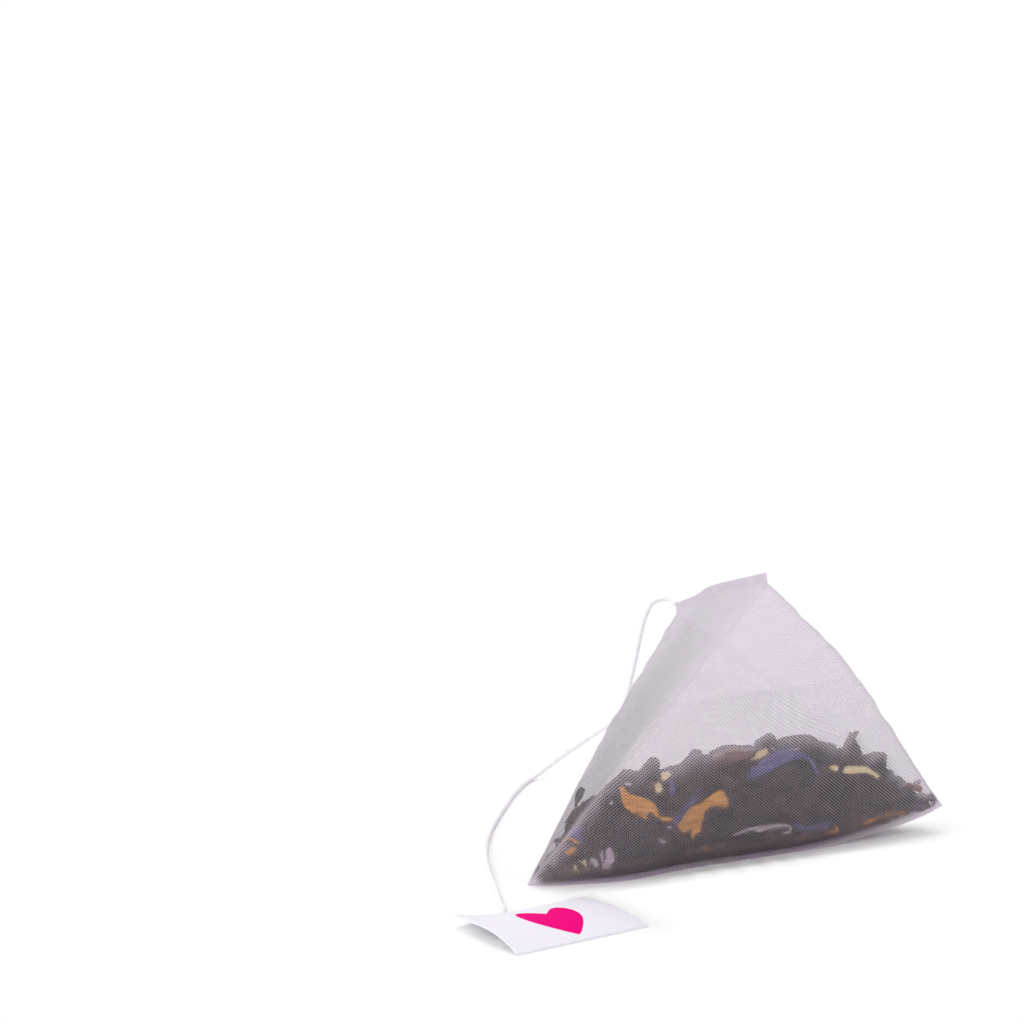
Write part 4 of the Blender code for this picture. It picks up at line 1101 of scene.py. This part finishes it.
BROAD_LEAVES = [  # dark leaves that make the tea's upper edge: name, outline, place across and up, and depth
    ("leaf_far_left", LEAF_FAR_LEFT, 3.6, 4.1, 1.1),
    ("leaf_a", LEAF_A, 13.5, 17.3, 1.1),
    ("leaf_b", LEAF_B, 17.2, 19.2, 1.1),
    ("leaf_c", LEAF_C, 21.7, 19.3, 1.1),
    ("leaf_d", LEAF_D, 27.8, 20.4, 1.1),
    ("leaf_e", LEAF_E, 33.6, 21.4, 1.1),
    ("leaf_f", LEAF_F, 40.3, 19.3, 1.1),
    ("leaf_g", LEAF_G, 49.2, 14.5, 1.1),
    ("spike_a", SPIKE_A, 48.1, 17.5, 0.9),
    ("spike_b", SPIKE_B, 52.8, 13.6, 0.9),
    ("leaf_h", LEAF_H, 56.8, 8.4, 1.1),
    ("tip_leaf", TIP_LEAF, 60.4, 3.4, 0.9),
]
for name, corners, across, up, depth in BROAD_LEAVES:
    press_petal(name, corners, across, up, "dark_tea", depth=depth)


# Cotton string. One soft twisted cord of three plies, welded into the far end of the top seal. It drops
# behind the bag, curves over the table and ends on the tag.

STRING = 0.65 * MM
PLIES = 3
TWIST = 2.3 * MM  # length of one full turn of the plies
STRING_STEP = 0.24 * MM
STRING_SIDES = 18
LOOSE_FIBRES = 230
FIBRE = 0.014 * MM  # half a loose fibre's thickness
ROUTE = [
    (8.6, 26.35, 28.6),
    (8.7, 27.2, 28.6),
    (8.6, 28.3, 28.95),
    (7.6, 29.3, 28.9),
    (6.2, 29.6, 28.2),
    (5.4, 30.2, 26.0),
    (5.0, 31.2, 22.2),
    (4.6, 32.6, 16.9),
    (4.4, 34.6, 12.2),
    (4.0, 36.6, 9.2),
    (2.2, 38.6, 7.2),
    (-0.6, 40.2, 4.9),
    (-4.4, 41.4, 2.2),
    (-7.2, 41.2, 0.6),
    (-9.6, 39.6, 0.335),
    (-14.2, 34.4, 0.335),
    (-18.9, 28.0, 0.335),
    (-23.4, 21.6, 0.335),
    (-27.4, 15.4, 0.335),
    (-30.6, 9.6, 0.335),
    (-33.2, 4.0, 0.335),
    (-35.6, -2.4, 0.335),
    (-37.8, -8.8, 0.335),
    (-39.7, -14.0, 0.335),
    (-40.6, -17.2, 0.335),
]


def smooth_route(route, spacing):
    """Points at even spacing on a smooth curve through the route."""
    knots = [Vector(p) * MM for p in route]
    dense = []
    for k in range(len(knots) - 1):
        before = knots[max(k - 1, 0)]
        after = knots[min(k + 2, len(knots) - 1)]
        a, b = knots[k], knots[k + 1]
        start, end = (b - before) / 2, (after - a) / 2
        for m in range(24):
            t = m / 24
            dense.append(
                a * (2 * t**3 - 3 * t**2 + 1)
                + start * (t**3 - 2 * t**2 + t)
                + b * (3 * t**2 - 2 * t**3)
                + end * (t**3 - t**2)
            )
    dense.append(knots[-1])
    lengths = np.concatenate([[0.0], np.cumsum([(q - p).length for p, q in zip(dense, dense[1:])])])
    count = max(2, round(lengths[-1] / spacing) + 1)
    at = np.linspace(0.0, lengths[-1], count)
    columns = [np.interp(at, lengths, [p[axis] for p in dense]) for axis in range(3)]
    return np.stack(columns, axis=-1)


def twist_string():
    line = smooth_route(ROUTE, STRING_STEP)
    sides = STRING_SIDES
    way = np.gradient(line, axis=0)
    way /= np.linalg.norm(way, axis=1, keepdims=True)
    side = unit(np.cross(way[0], [0.0, 0.0, 1.0]))
    points = []
    travelled = 0.0
    for k, place in enumerate(line):
        if k:
            travelled += float(np.linalg.norm(line[k] - line[k - 1]))
        side = unit(side - np.dot(side, way[k]) * way[k])
        other = np.cross(way[k], side)
        turn = math.tau * travelled / TWIST
        slack = 1 + 0.05 * noise.noise(Vector((travelled * 900, 0, 0)))
        for m in range(sides):
            angle = math.tau * m / sides
            lobe = abs(math.cos(PLIES / 2 * (angle - turn)))
            r = STRING / 2 * (0.86 + 0.14 * lobe**0.7) * slack
            points.append(place + r * (math.cos(angle) * side + math.sin(angle) * other))
    faces = ring_faces(len(line), sides)
    faces.append(tuple(reversed(range(sides))))
    faces.append(tuple((len(line) - 1) * sides + m for m in range(sides)))
    return piece_from("cotton_string", points, faces), line


def string_fuzz(line):
    """Loose cotton fibres that stand off the string."""
    chance = random.Random(8)
    points, faces = [], []
    for _ in range(LOOSE_FIBRES):
        k = chance.randrange(4, len(line) - 4)
        along = unit(line[k + 1] - line[k - 1])
        out = unit(np.cross(along, [chance.gauss(0, 1), chance.gauss(0, 1), chance.gauss(0, 1)]))
        length = chance.uniform(0.4, 1.3) * MM
        curl = chance.uniform(-1.0, 1.0)
        start = len(points)
        for m in range(4):
            share = m / 3
            lean = along * share * length * (0.7 + 0.3 * curl)
            off = out * (STRING * 0.42 + length * 0.35 * share * (1 - 0.4 * share * abs(curl)))
            middle = line[k] + lean + off
            middle[2] = max(middle[2], 0.04 * MM)
            for corner in range(3):
                angle = math.tau * corner / 3
                ring = math.cos(angle) * out + math.sin(angle) * np.cross(along, out)
                points.append(middle + ring * FIBRE)
        faces += [tuple(start + v for v in face) for face in ring_faces(4, 3)]
        faces.append((start + 2, start + 1, start))
        faces.append((start + 9, start + 10, start + 11))
    return piece_from("string_fibres", points, faces)


def white_cotton():
    made, tree, shader = new_finish("cotton", 0.9, 0.15)
    place = tree.nodes.new("ShaderNodeTexCoord")
    fibres = node_with(tree, "ShaderNodeTexNoise", Scale=3500.0, Detail=4.0)
    shades = ramp_between(tree, 0.25, (0.84, 0.82, 0.87), 0.7, (0.97, 0.96, 0.98))
    bump = node_with(tree, "ShaderNodeBump", Strength=0.5, Distance=0.05 * MM)
    wired(
        tree,
        [
            (place, "Object", fibres, "Vector"),
            (fibres, "Fac", shades, "Fac"),
            (shades, "Color", shader, "Base Color"),
            (fibres, "Fac", bump, "Height"),
            (bump, 0, shader, "Normal"),
        ],
    )
    return made


cotton = white_cotton()
string, string_line = twist_string()
fibres = string_fuzz(string_line)
for piece in (string, fibres):
    piece.data.materials.append(cotton)
    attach(piece, "root")
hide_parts("string")


# Paper tag. A small die-cut card, arched across its short way and lifted at one corner, with a plain
# heart printed on it in one colour.

TAG_LENGTH = 19.8 * MM
TAG_WIDTH = 14.0 * MM
TAG_PAPER = 0.3 * MM
TAG_CENTRE = (-37.9 * MM, -24.9 * MM)
TAG_TURN = math.radians(8.5)
TAG_ARCH_LEFT = 1.5 * MM
TAG_ARCH_RIGHT = 0.6 * MM
TAG_CORNER_LIFT = 1.2 * MM
TAG_ABOVE_TABLE = 0.02 * MM
TAG_SIDE_POINTS = 36
HEART_WIDTH = 8.0 * MM
HEART_HEIGHT = 9.4 * MM
HEART_AT = (0.1 * MM, -1.3 * MM)
INK = 0.012 * MM


def tag_height(u, v):
    """Height of the card's underside at u along it and v across it, each from -1 to 1."""
    arch = TAG_ARCH_LEFT * (1 - u) / 2 + TAG_ARCH_RIGHT * (1 + u) / 2
    lift = TAG_CORNER_LIFT * max(0.0, -u) ** 2 * max(0.0, v) ** 2
    return TAG_ABOVE_TABLE + arch * (1 - v * v) + lift


def heart_point(share):
    """Outline of a plain heart, from its notch round by the right lobe and the point."""
    t = math.tau * share
    x = math.sin(t) * abs(math.sin(t)) ** 0.6
    y = (13 * math.cos(t) - 5 * math.cos(2 * t) - 2 * math.cos(3 * t) - math.cos(4 * t) + 2.5) / 29
    return np.array([HEART_AT[0] + x * HEART_WIDTH / 2, HEART_AT[1] + y * HEART_HEIGHT])


def card_edge_point(k):
    """Point k round the card's edge, from the middle of its top side towards the right."""
    side, along = divmod(k + TAG_SIDE_POINTS // 2, TAG_SIDE_POINTS)
    share = 2 * along / TAG_SIDE_POINTS - 1
    places = [(share, 1.0), (1.0, -share), (-share, -1.0), (-1.0, share)]
    u, v = places[side % 4]
    return np.array([u * TAG_LENGTH / 2, v * TAG_WIDTH / 2])


def cut_tag():
    n = 4 * TAG_SIDE_POINTS
    heart = [heart_point(k / n) for k in range(n)]
    edge = [card_edge_point(k) for k in range(n)]
    middle = np.array(HEART_AT)
    levels = [(share, True) for share in (0.2, 0.4, 0.6, 0.8, 1.0)] + [(1.0, False)]
    flat, raised = [middle], [True]
    for share, ink in levels:
        flat += [middle + (p - middle) * share for p in heart]
        raised += [ink] * n
    outer = (0.15, 0.3, 0.45, 0.6, 0.75, 0.9, 0.985, 1.0)
    for share in outer:
        flat += [p + (q - p) * share for p, q in zip(heart, edge)]
        raised += [False] * n
    c, s = math.cos(TAG_TURN), math.sin(TAG_TURN)

    def at(p, above):
        z = tag_height(2 * p[0] / TAG_LENGTH, 2 * p[1] / TAG_WIDTH) + above
        return (TAG_CENTRE[0] + c * p[0] - s * p[1], TAG_CENTRE[1] + s * p[0] + c * p[1], z)

    count = len(flat)
    points = [at(p, TAG_PAPER + (INK if ink else 0.0)) for p, ink in zip(flat, raised)]
    points += [at(p, 0.0) for p in flat]
    faces, printed = [], []
    last_level = len(levels) + len(outer) - 1
    inked = len(levels) - 1
    for k in range(n):
        j = (k + 1) % n
        faces += [(0, 1 + k, 1 + j), (count, count + 1 + j, count + 1 + k)]
        printed += [1, 0]
        for level in range(last_level):
            a, b = 1 + level * n, 1 + (level + 1) * n
            faces.append((a + k, b + k, b + j, a + j))
            printed.append(int(level < inked))
            if level != inked:
                faces.append((count + a + k, count + a + j, count + b + j, count + b + k))
                printed.append(0)
        last = 1 + last_level * n
        faces.append((last + k, count + last + k, count + last + j, last + j))
        printed.append(0)
    mesh = bpy.data.meshes.new("paper_tag")
    mesh.from_pydata(points, [], faces)
    mesh.polygons.foreach_set("material_index", printed)
    work = bmesh.new()
    work.from_mesh(mesh)
    bmesh.ops.remove_doubles(work, verts=work.verts, dist=0.0005 * MM)
    bmesh.ops.recalc_face_normals(work, faces=work.faces)
    work.to_mesh(mesh)
    work.free()
    mesh.polygons.foreach_set("use_smooth", [True] * len(mesh.polygons))
    mesh.set_sharp_from_angle(angle=math.radians(40))
    tag = bpy.data.objects.new("paper_tag", mesh)
    bpy.context.collection.objects.link(tag)
    return tag


def paper(name, low, high, roughness):
    """Card with fine fibres, bare or printed."""
    made, tree, shader = new_finish(name, roughness, 0.04)
    place = tree.nodes.new("ShaderNodeTexCoord")
    fibres = node_with(tree, "ShaderNodeTexNoise", Scale=2200.0, Detail=6.0)
    shades = ramp_between(tree, 0.3, low, 0.7, high)
    bump = node_with(tree, "ShaderNodeBump", Strength=0.25, Distance=0.03 * MM)
    wired(
        tree,
        [
            (place, "Object", fibres, "Vector"),
            (fibres, "Fac", shades, "Fac"),
            (shades, "Color", shader, "Base Color"),
            (fibres, "Fac", bump, "Height"),
            (bump, 0, shader, "Normal"),
        ],
    )
    return made


tag = cut_tag()
tag.data.materials.append(paper("card", (0.84, 0.82, 0.89), (0.88, 0.86, 0.93), 0.7))
tag.data.materials.append(paper("print", (0.85, 0.0, 0.20), (0.91, 0.0, 0.23), 0.8))
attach(tag, "root")
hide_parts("tag")


# White table. It is stage only, and no part of the bag. It keeps the shadow close under the bag and the
# tag, and further off it is plain white.

TABLE_HALF = 3.0
SHADE_FROM = 0.4 * MM
SHADE_TO = 4.2 * MM


def shaded_share(points):
    """1 on the table under and close to the bag, string and tag, and 0 further off."""
    base = film_points[film_points[:, 2] < 3 * MM][::7]
    seal = bottom_edge(np.linspace(-1, 1, 90))
    cord = string_line[string_line[:, 2] < 2 * MM]
    card = [v.co for v in tag.data.vertices][::9]
    feet = np.concatenate([base, seal, cord, card])
    gap = np.full(len(points), np.inf)
    for foot in feet:
        gap = np.minimum(gap, np.hypot(points[:, 0] - foot[0], points[:, 1] - foot[1]))
    share = np.clip((SHADE_TO - gap) / (SHADE_TO - SHADE_FROM), 0, 1)
    return share * share * (3 - 2 * share)


def lay_table():
    line = np.concatenate([[-TABLE_HALF, -0.6, -0.2], np.linspace(-0.1, 0.1, 101), [0.2, 0.6, TABLE_HALF]])
    n = len(line)
    x, y = np.meshgrid(line, line)
    points = np.stack([x.ravel(), y.ravel(), np.zeros(n * n)], axis=-1)
    faces = [
        (j * n + i, j * n + i + 1, (j + 1) * n + i + 1, (j + 1) * n + i)
        for j in range(n - 1)
        for i in range(n - 1)
    ]
    mesh = bpy.data.meshes.new("table")
    mesh.from_pydata(points.tolist(), [], faces)
    mesh.attributes.new("shade", "FLOAT", "POINT").data.foreach_set("value", shaded_share(points))
    made, tree, shader = new_finish("white_table", 0.9, 0.1)
    shader.inputs["Base Color"].default_value = WHITE
    step = sums(tree)
    shade = tree.nodes.new("ShaderNodeAttribute")
    shade.attribute_name = "shade"
    path = tree.nodes.new("ShaderNodeLightPath")
    plain = tree.nodes.new("ShaderNodeEmission")
    mix = tree.nodes.new("ShaderNodeMixShader")
    looked_at = step("MAXIMUM", (path, "Is Camera Ray"), (path, "Is Glossy Ray"))
    looked_at = step("MAXIMUM", looked_at, (path, "Is Transmission Ray"))
    white = step("MULTIPLY", looked_at, step("SUBTRACT", 1.0, (shade, "Fac")))
    wired(
        tree,
        [
            (white[0], 0, mix, 0),
            (shader, 0, mix, 1),
            (plain, 0, mix, 2),
            (mix, 0, tree.nodes["Material Output"], "Surface"),
        ],
    )
    mesh.materials.append(made)
    table = bpy.data.objects.new("table", mesh)
    bpy.context.collection.objects.link(table)


lay_table()
